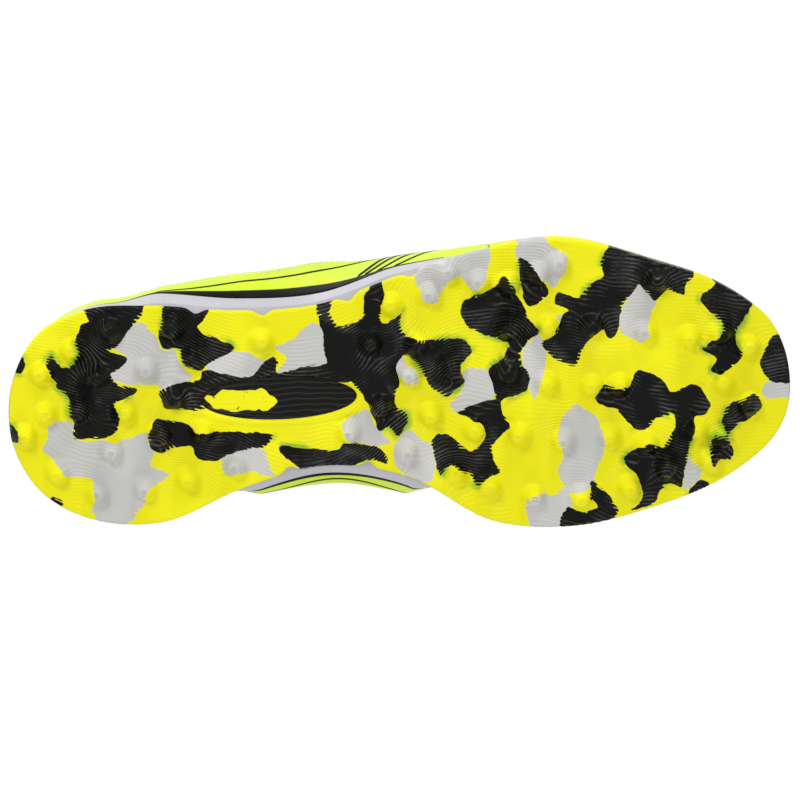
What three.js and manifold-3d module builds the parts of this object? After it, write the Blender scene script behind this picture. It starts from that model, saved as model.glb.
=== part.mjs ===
// Right soccer shoe with a multi-stud rubber sole, European size 42, in millimetres.
// +X points to the toe, +Y to the medial side, +Z up. The stud tips stand on z = 0.
import * as THREE from 'three';
import Module from 'manifold-3d';

// Overall size
const SOLE_LENGTH = 286;
const SOLE_WIDTH = 107.5;
const TOE_SPRING = 9;

// Outsole
const STUD_HEIGHT = 5.5;
const STUD_RADIUS = 4.5;
const STUD_TIP_RADIUS = 1.8;
const STUD_STRETCH = 1.12;
const STUD_TIP_SHIFT = 0.7;
const STUD_WAIST = 0.78;
const STUD_WAIST_HEIGHT = 0.35;
const STUD_SIDES = 8;
const PLATE_THICKNESS = 2.2;
const PLATE_BEVEL = 0.8;
const RIM_THICKNESS = 2;
const RIM_HEIGHT = 6.5;
const WINDOW_LENGTH = 60;
const WINDOW_WIDTH = 17;
const WINDOW_PLACE = 0.345;
const WINDOW_CENTRE_Y = -5;
const WINDOW_SIDES = 28;
const INSERT_THICKNESS = 1.4;

// Midsole
const MIDSOLE_HEEL_TOP = 21;
const MIDSOLE_TOE_TOP = 15.5;
const MIDSOLE_LIP = 1.2;
const MIDSOLE_FOOT_FLARE = 0.5;
const MIDSOLE_LATERAL_FLARE = 1.5;
const MIDSOLE_MEDIAL_FLARE = 5.7;
const MIDSOLE_WAIST = 0.45;
const MIDSOLE_WAIST_OUT = 0.7;

// Upper: heights of the top line and half-widths of the throat
const CLEARANCE = 0.3;
const SKIN = 1.4;
const OVERLAY = 0.9;
const STIFFENER = 1.7;
const COLLAR_PAD = 4.6;
const LINING = 1;
const FOXING = 0.6;
const HEEL_HEIGHT = 86;
const ANKLE_HEIGHT = 66;
const THROAT_TOP_HEIGHT = 89;
const THROAT_FRONT_HEIGHT = 65;
const TOE_BOX_HEIGHT = 40;
const THROAT_TOP_HALF = 21;
const THROAT_FRONT_HALF = 11;
const HEEL_INSET = 12;
const ANKLE_INSET = 8.5;
const LATERAL_BULGE = 8;
const MEDIAL_BULGE = 14.3;
const END_BULGE = 1;
const UPPER_CENTRE_Y = -2;
const BINDING_HEIGHT = 2.6;
const ANKLE_RISE = 0.62;
const COLLAR_RISE = 0.5;
const TOE_BOX_RISE = 0.36;

// Inside the shoe
const BOARD = 1.5;
const SOCKLINER = 4;
const SOCKLINER_EASE = 1.2;

// Eyelets
const EYELETS_PER_SIDE = 6;
const EYELET_BORE = 2;
const EYELET_BARREL = 2.7;
const EYELET_FLANGE = 4.1;
const EYELET_FLANGE_THICKNESS = 0.7;
const EYELET_SEAT = 0.5;
const EYELET_SIDES = 10;
const HOLE_SIDES = 8;

// Tongue
const TONGUE_EASE = 4.8;
const TONGUE_SKIN = 1.2;
const TONGUE_FOAM = 4;
const TONGUE_DROP = 2.5;
const TONGUE_CROWN = 3;
const TONGUE_TOP_HEIGHT = 109;
const TONGUE_TOP_ROUND = 0.6;
const TONGUE_STEPS = 12;
const LABEL_THICKNESS = 0.6;
const KEEPER_THICKNESS = 1;

// Places along the shoe, as fractions of the sole's length from the heel
const THROAT_TOP = 0.37;
const THROAT_FRONT = 0.59;
const VAMP_SEAM = 0.618;
const RIDGE_END = 0.86;
const BALL = 0.68;
const BINDING_FRONT = 0.31;
const FOAM_FRONT = 0.27;
const COUNTER_FRONT = 0.25;
const TOE_PUFF_BACK = 0.9;
const TOE_GUARD_BACK = 0.8;
const TONGUE_TOP = 0.29;
const BACKSTAY_FRONT = 0.035;
const PULL_TAB_FRONT = 0.004;
const FOXING_BACK = 0.1;
const FOXING_FRONT = 0.56;
const ANKLE_BACK = 0.08;
const ANKLE = 0.19;
const COLLAR_FRONT = 0.29;
const VAMP_MIDDLE = 0.75;
const WEDGE = [0.2, 0.62];
const INSET_CHANGE = [0.06, 0.24];
const THROAT_APPROACH = 0.24;
const CREST_BACK = 0.26;
const ROUND_FRONT = 0.5;
const PAD_END = [0.3, 0.35];
const UNSTIFFENED = [0.27, 0.31, 0.82, 0.88];
const FIRST_EYELET = 0.395;
const LAST_EYELET = 0.57;

// Plan of the sole's edge: [fraction of the length, lateral y, medial y], drawn 107.5 mm wide
const PLAN_WIDTH = 107.5;
const PLAN = [
  [0.01, -17, 15],
  [0.042, -31.5, 29],
  [0.105, -40.5, 38.8],
  [0.192, -41, 40.2],
  [0.297, -38.2, 28.2],
  [0.402, -39.6, 21],
  [0.507, -49.6, 26.3],
  [0.612, -57.9, 44],
  [0.717, -60.3, 47.2],
  [0.822, -51.1, 41.3],
  [0.909, -40.9, 32.5],
  [0.972, -26.9, 19.8],
  [0.993, -15.2, 10.5],
];

// Stretches where the sole's edge has no rubber rim, and where the midsole flares out over it
const BARE_EDGE = { lateral: [0.05, 0.08, 0.61, 0.66], medial: [0.19, 0.235, 0.585, 0.62] };
const FLARE = { lateral: [0.135, 0.2, 0.48, 0.605], medial: [0.24, 0.31, 0.52, 0.56] };

// Stretches where the upper's wall stands out over the sole's edge
const BULGE = { lateral: [0.17, 0.31, 0.385, 0.5], medial: [0.16, 0.4, 0.46, 0.7] };

// Stud centres: [x from the heel, y], drawn on a sole 286 mm long
const PLAN_LENGTH = 286;
const STUDS = [
  [6, 6], [12, -17], [14, -3], [17, 21], [24, -26], [26, -3], [32, -15], [31, 28],
  [37, 13], [38, -33], [43, -2], [48, 28], [51, -18], [55, 8], [60, -33], [61, -7],
  [64, 25], [67, -21], [71, 7], [81, 20], [94, -27], [123, 9], [133, -25], [136, 0],
  [140, -39], [145, 17], [146, -12], [150, -24], [154, 4], [154, -42], [162, -50], [162, -13],
  [162, 25], [170, 10], [172, -46], [175, 31], [182, -11], [183, -29], [184, -44], [185, 12],
  [191, 35], [194, -47], [197, -29], [197, -7], [201, 15], [202, -52], [208, 37], [212, -6],
  [214, -28], [218, 14], [223, -6], [226, 34], [232, -25], [233, 17], [237, -43], [240, 26],
  [249, -21], [250, 13], [261, 17], [255, 26], [261, -5], [261, -22], [270, 5], [271, -17],
];

const wasm = await Module();
wasm.setup();

const WIDE = SOLE_WIDTH / PLAN_WIDTH;
const LONG = SOLE_LENGTH / PLAN_LENGTH;
const SAMPLES_PER_SPAN = 2;
const ROWS = 7;
const COUNTER_ROW = 3;
const FOAM_ROW = 4;
const EYESTAY_LOW_ROW = 5;
const PLATE_TOP = STUD_HEIGHT + PLATE_THICKNESS;
const MIDSOLE_BOTTOM = PLATE_TOP + CLEARANCE;
const TOE = 0.5;
const ROW_APART = 0.03;
const UP = new THREE.Vector3(0, 0, 1);

function buildOutline() {
  const lateral = PLAN.map(([f, y]) => new THREE.Vector3(f * SOLE_LENGTH, y * WIDE, 0));
  const medial = PLAN.map(([f, , y]) => new THREE.Vector3(f * SOLE_LENGTH, y * WIDE, 0));
  const heel = new THREE.Vector3(0, 0, 0);
  const toe = new THREE.Vector3(SOLE_LENGTH, -1, 0);
  const points = [heel, ...lateral, toe, ...medial.reverse()];
  return new THREE.CatmullRomCurve3(points, true, 'centripetal');
}

const outline = buildOutline();
const SPANS = 2 * PLAN.length + 2;
const STEP = 1 / (SPANS * SAMPLES_PER_SPAN);
const SEAM = CLEARANCE / outline.getLength();

function mix(a, b, w) {
  return a + (b - a) * w;
}

function ramp(value, low, high) {
  return THREE.MathUtils.smoothstep(value, low, high);
}

// 1 between the second and third limits, 0 outside the first and fourth
function plateau(value, [a, b, c, d]) {
  return ramp(value, a, b) * (1 - ramp(value, c, d));
}

// A smooth curve of height through [fraction, height] rows
function profile(rows) {
  const curve = rows.map(([f, h]) => new THREE.Vector2(f, h));
  return (f) => {
    const last = curve.length - 1;
    const hit = curve.findIndex((p) => p.x > f);
    const i = hit < 0 ? last - 1 : Math.max(hit - 1, 0);
    const [p, q] = [curve[i], curve[i + 1]];
    const before = curve[Math.max(i - 1, 0)];
    const after = curve[Math.min(i + 2, last)];
    const w = THREE.MathUtils.clamp((f - p.x) / (q.x - p.x), 0, 1);
    const width = q.x - p.x;
    const m0 = ((q.y - before.y) / (q.x - before.x)) * width;
    const m1 = ((after.y - p.y) / (after.x - p.x)) * width;
    const w2 = w * w;
    const w3 = w2 * w;
    return (2 * w3 - 3 * w2 + 1) * p.y + (w3 - 2 * w2 + w) * m0
      + (3 * w2 - 2 * w3) * q.y + (w3 - w2) * m1;
  };
}

const topLine = profile([
  [0, HEEL_HEIGHT],
  [ANKLE_BACK, mix(ANKLE_HEIGHT, HEEL_HEIGHT, ANKLE_RISE)],
  [ANKLE, ANKLE_HEIGHT],
  [COLLAR_FRONT, mix(ANKLE_HEIGHT, THROAT_TOP_HEIGHT, COLLAR_RISE)],
  [THROAT_TOP, THROAT_TOP_HEIGHT],
  [THROAT_FRONT, THROAT_FRONT_HEIGHT],
  [VAMP_MIDDLE, mix(TOE_BOX_HEIGHT, THROAT_FRONT_HEIGHT, TOE_BOX_RISE)],
  [RIDGE_END, TOE_BOX_HEIGHT],
]);

// The sole's edge at a place t round the shoe: 0 heel, 0.5 toe, lateral before the toe, medial after.
// f is how far along the shoe the two sides of a place lie together.
const edgeCache = new Map();
function edge(t) {
  const place = ((t % 1) + 1) % 1;
  if (!edgeCache.has(place)) {
    const point = outline.getPoint(place);
    const along = outline.getTangent(place);
    const out = new THREE.Vector3(along.y, -along.x, 0).normalize();
    const side = place < TOE ? 'lateral' : 'medial';
    const opposite = outline.getPoint(place > 0 ? 1 - place : 0);
    const f = (point.x + opposite.x) / (2 * SOLE_LENGTH);
    edgeCache.set(place, { point, out, side, f });
  }
  return edgeCache.get(place);
}

// The place on the lateral side that lies at a fraction of the length
function placeAt(fraction) {
  let low = 0;
  let high = TOE;
  for (let i = 0; i < 40; i += 1) {
    const middle = (low + high) / 2;
    if (edge(middle).f < fraction) {
      low = middle;
    } else {
      high = middle;
    }
  }
  return low;
}

// The places round the shoe where every layer of the upper has its points, so that layers nest
function commonPlaces() {
  const even = Array.from({ length: SPANS * SAMPLES_PER_SPAN }, (_, n) => n * STEP);
  const extra = [THROAT_TOP, THROAT_FRONT, VAMP_SEAM].map(placeAt);
  const all = [...even, ...extra, ...extra.map((t) => 1 - t)];
  return [...all, ...all.map((t) => t - 1)].sort((a, b) => a - b);
}

const COMMON = commonPlaces();

// The common place on the lateral side that is nearest a fraction of the length
function stationAt(fraction) {
  const exact = placeAt(fraction);
  const nearer = (a, b) => (Math.abs(b - exact) < Math.abs(a - exact) ? b : a);
  return COMMON.reduce(nearer);
}

function offsetEdge(t, distance, z) {
  const { point, out } = edge(t);
  return point.clone().addScaledVector(out, distance).setZ(z);
}

const RIM_INSET = -(RIM_THICKNESS + CLEARANCE);

function flare(t) {
  const { side, f } = edge(t);
  return plateau(f, FLARE[side]);
}

function midsoleTop(f) {
  return mix(MIDSOLE_HEEL_TOP, MIDSOLE_TOE_TOP, ramp(f, ...WEDGE));
}

function midsoleTopOffset(t) {
  const out = edge(t).side === 'lateral' ? MIDSOLE_LATERAL_FLARE : MIDSOLE_MEDIAL_FLARE;
  return mix(RIM_INSET, out, flare(t));
}

// The upper's surface: v runs 0 at the sole to 1 at the top line, d is the distance outward
function featherPoint(t, d) {
  const inset = midsoleTopOffset(t) - MIDSOLE_LIP;
  return offsetEdge(t, inset + d, midsoleTop(edge(t).f) + CLEARANCE);
}

function throatHalf(f) {
  const open = mix(THROAT_TOP_HALF, THROAT_FRONT_HALF, ramp(f, THROAT_TOP, THROAT_FRONT));
  const closed = (f - THROAT_FRONT) / (VAMP_SEAM - THROAT_FRONT);
  return open * (1 - THREE.MathUtils.clamp(closed, 0, 1));
}

function topPoint(t, d) {
  const { out, side, f } = edge(t);
  const collar = featherPoint(t, -mix(HEEL_INSET, ANKLE_INSET, ramp(f, ...INSET_CHANGE)));
  const x = Math.min(f, RIDGE_END) * SOLE_LENGTH;
  const y = UPPER_CENTRE_Y + (side === 'lateral' ? -1 : 1) * throatHalf(f) * WIDE;
  const target = new THREE.Vector3(x, y, 0);
  const forward = ramp(f, THROAT_APPROACH, THROAT_TOP);
  const top = collar.lerp(target, forward).setZ(topLine(Math.min(f, RIDGE_END)));
  const crest = ramp(f, CREST_BACK, THROAT_FRONT);
  const lean = out.clone().multiplyScalar(1 - crest).addScaledVector(UP, crest).normalize();
  return top.addScaledVector(lean, d);
}

const EDGE_FULLNESS = 1.35;
const LEAN_POWER = 1.6;
const BULGE_POWER = 0.8;
function upperPoint(t, v, d) {
  const { out, side, f } = edge(t);
  const foot = featherPoint(t, d);
  const top = topPoint(t, d);
  const round = ramp(f, CREST_BACK, ROUND_FRONT);
  const angle = (v * Math.PI) / 2;
  const rise = mix(v, Math.sin(angle), round);
  const inward = mix(v ** LEAN_POWER, (1 - Math.cos(angle)) ** EDGE_FULLNESS, round);
  const full = side === 'lateral' ? LATERAL_BULGE : MEDIAL_BULGE;
  const swell = mix(END_BULGE, full, plateau(f, BULGE[side]));
  const push = v < 1 ? swell * Math.sin(Math.PI * v ** BULGE_POWER) : 0;
  const z = mix(foot.z, top.z, rise);
  return foot.lerp(top, inward).addScaledVector(out, push).setZ(z);
}

// Room between the skin and the lining for the stiffeners and the collar foam
function liningRoom(t, v) {
  const { f } = edge(t);
  const stiff = (STIFFENER + CLEARANCE) * (1 - plateau(f, UNSTIFFENED));
  const high = ramp(v, COUNTER_ROW / ROWS, FOAM_ROW / ROWS);
  const padded = (COLLAR_PAD + CLEARANCE) * (1 - ramp(f, ...PAD_END)) * high;
  return Math.max(stiff, padded);
}

function liningOuter(t, v) {
  return -SKIN - CLEARANCE - liningRoom(t, v);
}

function springLift(x) {
  const ahead = Math.max(x / SOLE_LENGTH - BALL, 0) / (1 - BALL);
  return TOE_SPRING * ahead * ahead;
}

// Collects welded triangles and drops the ones that close to a line
class Shell {
  constructor() {
    this.points = [];
    this.faces = [];
    this.found = new Map();
  }

  vertex(p) {
    const key = [p.x, p.y, p.z].map((c) => Math.round(c * 1e3)).join();
    if (!this.found.has(key)) {
      this.found.set(key, this.points.length / 3);
      this.points.push(p.x, p.y, p.z);
    }
    return this.found.get(key);
  }

  triangle(a, b, c) {
    const [i, j, k] = [this.vertex(a), this.vertex(b), this.vertex(c)];
    if (i !== j && j !== k && k !== i) {
      this.faces.push(i, j, k);
    }
  }

  quad(a, b, c, d) {
    this.triangle(a, b, c);
    this.triangle(a, c, d);
  }

  signedVolume() {
    let sum = 0;
    const corner = (n) => new THREE.Vector3().fromArray(this.points, this.faces[n] * 3);
    for (let n = 0; n < this.faces.length; n += 3) {
      sum += corner(n).dot(corner(n + 1).cross(corner(n + 2)));
    }
    return sum;
  }

  manifold() {
    const flip = this.signedVolume() < 0;
    const faces = flip ? this.faces.slice().reverse() : this.faces;
    const mesh = new wasm.Mesh({
      numProp: 3,
      vertProperties: new Float32Array(this.points),
      triVerts: new Uint32Array(faces),
    });
    return new wasm.Manifold(mesh);
  }
}

// A solid between rings of points; each ring runs heel, lateral side, toe, medial side
function ringSolid(rings) {
  const shell = new Shell();
  const count = rings[0].length;
  for (let r = 0; r < rings.length - 1; r += 1) {
    for (let i = 0; i < count; i += 1) {
      const n = (i + 1) % count;
      shell.quad(rings[r][i], rings[r][n], rings[r + 1][n], rings[r + 1][i]);
    }
  }
  ladderCap(shell, rings[0], true);
  ladderCap(shell, rings[rings.length - 1], false);
  return shell.manifold();
}

// Closes a ring by rungs from each lateral point to the medial point opposite
function ladderCap(shell, ring, under) {
  const count = ring.length;
  for (let i = 0; i < count / 2; i += 1) {
    const corners = [ring[i], ring[i + 1], ring[(count - i - 1) % count], ring[(count - i) % count]];
    const [a, b, c, d] = under ? corners.reverse() : corners;
    shell.quad(a, b, c, d);
  }
}

// A closed slab from two grids of points; an open top lets the two sides meet on the ridge
function slab(outer, inner, openTop = false) {
  const shell = new Shell();
  const columns = outer.length;
  const rows = outer[0].length;
  for (let i = 0; i < columns - 1; i += 1) {
    for (let j = 0; j < rows - 1; j += 1) {
      shell.quad(outer[i][j], outer[i + 1][j], outer[i + 1][j + 1], outer[i][j + 1]);
      shell.quad(inner[i][j], inner[i][j + 1], inner[i + 1][j + 1], inner[i + 1][j]);
    }
    shell.quad(inner[i][0], inner[i + 1][0], outer[i + 1][0], outer[i][0]);
    if (!openTop) {
      const top = rows - 1;
      shell.quad(outer[i][top], outer[i + 1][top], inner[i + 1][top], inner[i][top]);
    }
  }
  for (let j = 0; j < rows - 1; j += 1) {
    const end = columns - 1;
    shell.quad(outer[0][j], outer[0][j + 1], inner[0][j + 1], inner[0][j]);
    shell.quad(inner[end][j], inner[end][j + 1], outer[end][j + 1], outer[end][j]);
  }
  return shell.manifold();
}

// The common places between two ends, and the ends
function places(start, end) {
  const apart = 2 * SEAM;
  return [start, ...COMMON.filter((t) => t > start + apart && t < end - apart), end];
}

// The heights v of a piece's rows, on common levels so that layers nest
function levels(low, high) {
  const list = [low];
  for (let n = 1; n < ROWS; n += 1) {
    if (n / ROWS > low + ROW_APART && n / ROWS < high - ROW_APART) {
      list.push(n / ROWS);
    }
  }
  list.push(high);
  return list;
}

// A piece of the upper; outer and inner may each be a number or a function
function upperPiece({ from, to, low, high, outer, inner, openTop }) {
  const value = (limit, ...at) => (typeof limit === 'function' ? limit(...at) : limit);
  const grid = (depth) => places(from, to).map((t) => (
    levels(low, high).map((v) => upperPoint(t, v, value(depth, t, v)))
  ));
  return slab(grid(outer), grid(inner), openTop);
}

function ring(offset, height) {
  const count = SPANS * SAMPLES_PER_SPAN;
  return Array.from({ length: count }, (_, n) => {
    const t = n * STEP;
    return offsetEdge(t, offset(t), height(t));
  });
}

function stud([x, y]) {
  const turn = (x * Math.PI) / PLAN_WIDTH + (y * Math.PI) / PLAN_LENGTH;
  const waist = mix(STUD_TIP_RADIUS, STUD_RADIUS, STUD_WAIST);
  const steps = [
    [STUD_RADIUS, STUD_HEIGHT + PLATE_THICKNESS / 2, 0],
    [STUD_RADIUS, STUD_HEIGHT, 0],
    [waist, STUD_HEIGHT * STUD_WAIST_HEIGHT, STUD_TIP_SHIFT / 2],
    [STUD_TIP_RADIUS, 0, STUD_TIP_SHIFT],
  ];
  const circles = steps.map(([radius, z, shift]) => (
    Array.from({ length: STUD_SIDES }, (_, n) => {
      const a = (n * 2 * Math.PI) / STUD_SIDES;
      const along = radius * STUD_STRETCH * Math.cos(a) + shift;
      const across = radius * Math.sin(a);
      const px = x * LONG + along * Math.cos(turn) - across * Math.sin(turn);
      const py = y * WIDE + along * Math.sin(turn) + across * Math.cos(turn);
      return new THREE.Vector3(px, py, z);
    })
  ));
  return ringSolid(circles);
}

// The lens-shaped window in the waist, grown or shrunk by an amount, between two heights
function lens(grow, bottom, top) {
  const centreX = WINDOW_PLACE * SOLE_LENGTH;
  const level = (z) => Array.from({ length: WINDOW_SIDES }, (_, n) => {
    const a = (n * 2 * Math.PI) / WINDOW_SIDES;
    const px = centreX + (WINDOW_LENGTH / 2 + grow) * Math.cos(a);
    const py = WINDOW_CENTRE_Y * WIDE + (WINDOW_WIDTH / 2 + grow) * Math.sin(a);
    return new THREE.Vector3(px, py, z);
  });
  return ringSolid([level(bottom), level(top)]);
}

function outsole() {
  const rimTop = (t) => {
    const { side, f } = edge(t);
    return PLATE_TOP + RIM_HEIGHT * (1 - plateau(f, BARE_EDGE[side]));
  };
  const plate = ringSolid([
    ring(() => -PLATE_BEVEL, () => STUD_HEIGHT),
    ring(() => 0, () => STUD_HEIGHT + PLATE_BEVEL),
    ring(() => 0, rimTop),
    ring(() => -RIM_THICKNESS, rimTop),
    ring(() => -RIM_THICKNESS, () => PLATE_TOP),
  ]);
  const window = lens(0, STUD_HEIGHT - PLATE_THICKNESS, PLATE_TOP + PLATE_THICKNESS);
  return STUDS.reduce((body, place) => body.add(stud(place)), plate).subtract(window);
}

function waistInsert() {
  return lens(-CLEARANCE, PLATE_TOP - INSERT_THICKNESS, PLATE_TOP);
}

function midsole() {
  const bottom = (t) => mix(RIM_INSET, MIDSOLE_FOOT_FLARE, flare(t));
  const top = (t) => midsoleTop(edge(t).f);
  return ringSolid([
    ring(bottom, () => MIDSOLE_BOTTOM),
    ring(
      (t) => mix(bottom(t), midsoleTopOffset(t), MIDSOLE_WAIST_OUT),
      (t) => mix(MIDSOLE_BOTTOM, top(t), MIDSOLE_WAIST),
    ),
    ring(midsoleTopOffset, (t) => top(t) - MIDSOLE_LIP),
    ring((t) => midsoleTopOffset(t) - MIDSOLE_LIP / 2, top),
  ]);
}

// A flat layer inside the lining, a set height above the midsole
function footLayer(ease, rise, thickness) {
  const offset = (t) => {
    const wall = liningOuter(t, 0) - LINING - ease;
    return midsoleTopOffset(t) - MIDSOLE_LIP + wall;
  };
  const level = (h) => (t) => midsoleTop(edge(t).f) + CLEARANCE + h;
  return ringSolid([ring(offset, level(rise)), ring(offset, level(rise + thickness))]);
}

// The ends of the matching piece on the medial side
function mirror(from, to) {
  return { from: 1 - to, to: 1 - from };
}

const T = {
  seam: stationAt(VAMP_SEAM),
  throatTop: stationAt(THROAT_TOP),
  throatFront: stationAt(THROAT_FRONT),
  binding: stationAt(BINDING_FRONT),
  foam: stationAt(FOAM_FRONT),
  counter: stationAt(COUNTER_FRONT),
  puff: stationAt(TOE_PUFF_BACK),
  guard: stationAt(TOE_GUARD_BACK),
  backstay: stationAt(BACKSTAY_FRONT),
  tab: stationAt(PULL_TAB_FRONT),
  foxingBack: stationAt(FOXING_BACK),
  foxingFront: stationAt(FOXING_FRONT),
};
const STIFFENER_OUT = -SKIN - CLEARANCE;
const STIFFENER_IN = STIFFENER_OUT - STIFFENER;
const EYELET_HEIGHT = 0.86;
const EYELET_UP_STEP = 0.04;
const OVERLAY_LOW = 0.03;
const BACKSTAY_HIGH = 0.93;
const TAB_LOW = 0.6;
const TAB_HIGH = 1.12;
const FOXING_LOW = 0.005;
const FOXING_HIGH = { lateral: 0.06, medial: 0.03 };

function eyeletFrame(side, n) {
  const f = mix(FIRST_EYELET, LAST_EYELET, n / (EYELETS_PER_SIDE - 1));
  const lateral = placeAt(f);
  const t = side === 'lateral' ? lateral : 1 - lateral;
  const at = upperPoint(t, EYELET_HEIGHT, CLEARANCE + OVERLAY);
  const onward = upperPoint(t + STEP / 4, EYELET_HEIGHT, CLEARANCE + OVERLAY).sub(at);
  const upward = upperPoint(t, EYELET_HEIGHT + EYELET_UP_STEP, CLEARANCE + OVERLAY).sub(at);
  const out = onward.cross(upward).normalize();
  return { at, out: out.z < 0 ? out.negate() : out };
}

// A turned ring or plug standing on an eyelet's place: profile rows are [radius, height]
function turned(profileRows, { at, out }, sides) {
  const points = profileRows.map(([radius, height]) => new THREE.Vector2(radius, height));
  const geometry = new THREE.LatheGeometry(points, sides);
  const spin = new THREE.Quaternion().setFromUnitVectors(new THREE.Vector3(0, 1, 0), out);
  geometry.applyQuaternion(spin).translate(at.x, at.y, at.z);
  const shell = new Shell();
  const position = geometry.getAttribute('position');
  const corner = (n) => new THREE.Vector3().fromBufferAttribute(position, geometry.index.getX(n));
  for (let n = 0; n < geometry.index.count; n += 3) {
    shell.triangle(corner(n), corner(n + 1), corner(n + 2));
  }
  return shell.manifold();
}

const EYELET_DEPTH = OVERLAY + SKIN + LINING + 3 * CLEARANCE;

function eyelet(place) {
  const low = -EYELET_DEPTH;
  const seat = EYELET_SEAT;
  const top = seat + EYELET_FLANGE_THICKNESS;
  return turned([
    [EYELET_BORE, low],
    [EYELET_BARREL, low],
    [EYELET_BARREL, seat],
    [EYELET_FLANGE, seat],
    [EYELET_FLANGE - EYELET_FLANGE_THICKNESS / 2, top],
    [EYELET_BORE, top],
    [EYELET_BORE, low],
  ], place, EYELET_SIDES);
}

function eyeletHole(place) {
  const reach = 2 * EYELET_DEPTH;
  const radius = (EYELET_BARREL + CLEARANCE) / Math.cos(Math.PI / HOLE_SIDES);
  const section = [[0, -reach], [radius, -reach], [radius, reach], [0, reach]];
  return turned(section, place, HOLE_SIDES);
}

const SIDES = ['lateral', 'medial'];
const EYELET_NUMBERS = Array.from({ length: EYELETS_PER_SIDE }, (_, n) => n);

function punched(body, sides) {
  const holes = sides.flatMap((side) => EYELET_NUMBERS.map((n) => eyeletHole(eyeletFrame(side, n))));
  return holes.reduce((rest, hole) => rest.subtract(hole), body);
}

function sideEnds(side, from, to) {
  return side === 'lateral' ? { from, to } : mirror(from, to);
}

function quarter(side) {
  const ends = sideEnds(side, SEAM, T.seam - SEAM);
  return punched(upperPiece({ ...ends, low: 0, high: 1, outer: 0, inner: -SKIN }), [side]);
}

function eyestay(side) {
  const ends = sideEnds(side, T.throatTop, T.throatFront);
  const body = upperPiece({
    ...ends, low: EYESTAY_LOW_ROW / ROWS, high: 1, outer: CLEARANCE + OVERLAY, inner: CLEARANCE,
  });
  return punched(body, [side]);
}

function foxing(side) {
  const ends = sideEnds(side, T.foxingBack, T.foxingFront);
  return upperPiece({
    ...ends, low: FOXING_LOW, high: FOXING_HIGH[side], outer: CLEARANCE + FOXING, inner: CLEARANCE,
  });
}

function overToe(from, rest) {
  return upperPiece({ from, to: 1 - from, ...rest });
}

function roundHeel(reach, rest) {
  return upperPiece({ from: -reach, to: reach, ...rest });
}

function quarterLining() {
  const body = roundHeel(T.seam - SEAM, {
    low: 0, high: 1, outer: liningOuter, inner: (t, v) => liningOuter(t, v) - LINING,
  });
  return punched(body, SIDES);
}

// A rounded strip along the collar's top edge, over the skin, foam and lining
function toplineBinding() {
  const sectionPoints = 6;
  const sections = places(-T.binding, T.binding).map((t) => {
    const out = upperPoint(t, 1, 0).addScaledVector(UP, CLEARANCE);
    const into = upperPoint(t, 1, liningOuter(t, 1) - LINING).addScaledVector(UP, CLEARANCE);
    const outer = [];
    for (let n = 0; n <= sectionPoints; n += 1) {
      const a = (n * Math.PI) / sectionPoints;
      const w = (1 - Math.cos(a)) / 2;
      outer.push(out.clone().lerp(into, w).addScaledVector(UP, BINDING_HEIGHT * Math.sin(a)));
    }
    return { outer, inner: outer.map((p, n) => out.clone().lerp(into, n / sectionPoints)) };
  });
  return slab(sections.map((s) => s.outer), sections.map((s) => s.inner));
}

const TONGUE_BASE = THROAT_FRONT - 0.02;
const TONGUE_MIDDLE = 0.5;
const TONGUE_MIDDLE_FALL = 0.52;
const TONGUE_LIFT = 2;
const tongueLine = profile([
  [TONGUE_TOP, TONGUE_TOP_HEIGHT],
  [THROAT_TOP, THROAT_TOP_HEIGHT - TONGUE_DROP + TONGUE_LIFT],
  [TONGUE_MIDDLE, mix(THROAT_TOP_HEIGHT, THROAT_FRONT_HEIGHT, TONGUE_MIDDLE_FALL) - TONGUE_DROP],
  [THROAT_FRONT, THROAT_FRONT_HEIGHT - TONGUE_DROP],
]);
const SLOPE_STEP = 0.002;
const TONGUE_END = [0.9, 1.02];

// a runs 0 at the tongue's sewn base to 1 at its top, b runs -1 to 1 across it
function tonguePoint(a, b, d) {
  const f = mix(TONGUE_BASE, TONGUE_TOP, a);
  const wide = throatHalf(Math.max(f, THROAT_TOP)) * WIDE - TONGUE_EASE;
  const end = Math.sqrt(1 - ramp(a, ...TONGUE_END) ** 2);
  const half = wide * mix(TONGUE_TOP_ROUND, 1, end);
  const rise = tongueLine(f + SLOPE_STEP) - tongueLine(f - SLOPE_STEP);
  const slope = rise / (2 * SLOPE_STEP * SOLE_LENGTH);
  const normal = new THREE.Vector3(-slope, 0, 1).normalize();
  const point = new THREE.Vector3(f * SOLE_LENGTH, UPPER_CENTRE_Y + b * half, tongueLine(f));
  return point.setZ(point.z - TONGUE_CROWN * b * b).addScaledVector(normal, d);
}

function tonguePiece({ from = 0, to = 1, across = 1, outer, inner }) {
  const alongSteps = Math.max(2, Math.round((to - from) * TONGUE_STEPS));
  const acrossSteps = 6;
  const grid = (d) => Array.from({ length: alongSteps + 1 }, (_, i) => (
    Array.from({ length: acrossSteps + 1 }, (__, j) => {
      const a = mix(from, to, i / alongSteps);
      const b = mix(-across, across, j / acrossSteps);
      return tonguePoint(a, b, d);
    })
  ));
  return slab(grid(outer), grid(inner));
}

const FOAM_TOP = -TONGUE_SKIN - CLEARANCE;
const FOAM_LOW = FOAM_TOP - TONGUE_FOAM;

function material(color, roughness, metalness = 0) {
  return new THREE.MeshStandardMaterial({ color, roughness, metalness });
}

const LOOK = {
  rubber: material('#e8e71d', 0.55),
  black: material('#1e1e20', 0.5),
  midsole: material('#dddbe2', 0.6),
  skin: material('#d3ec1e', 0.6),
  overlay: material('#c4df1a', 0.5),
  board: material('#c9b48c', 0.9),
  foam: material('#3a3a3e', 0.95),
  lining: material('#26262a', 0.9),
  stiffener: material('#e6e0d0', 0.7),
  eyelet: material('#2a2a2c', 0.35, 0.6),
};

const group = new THREE.Group();

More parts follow.
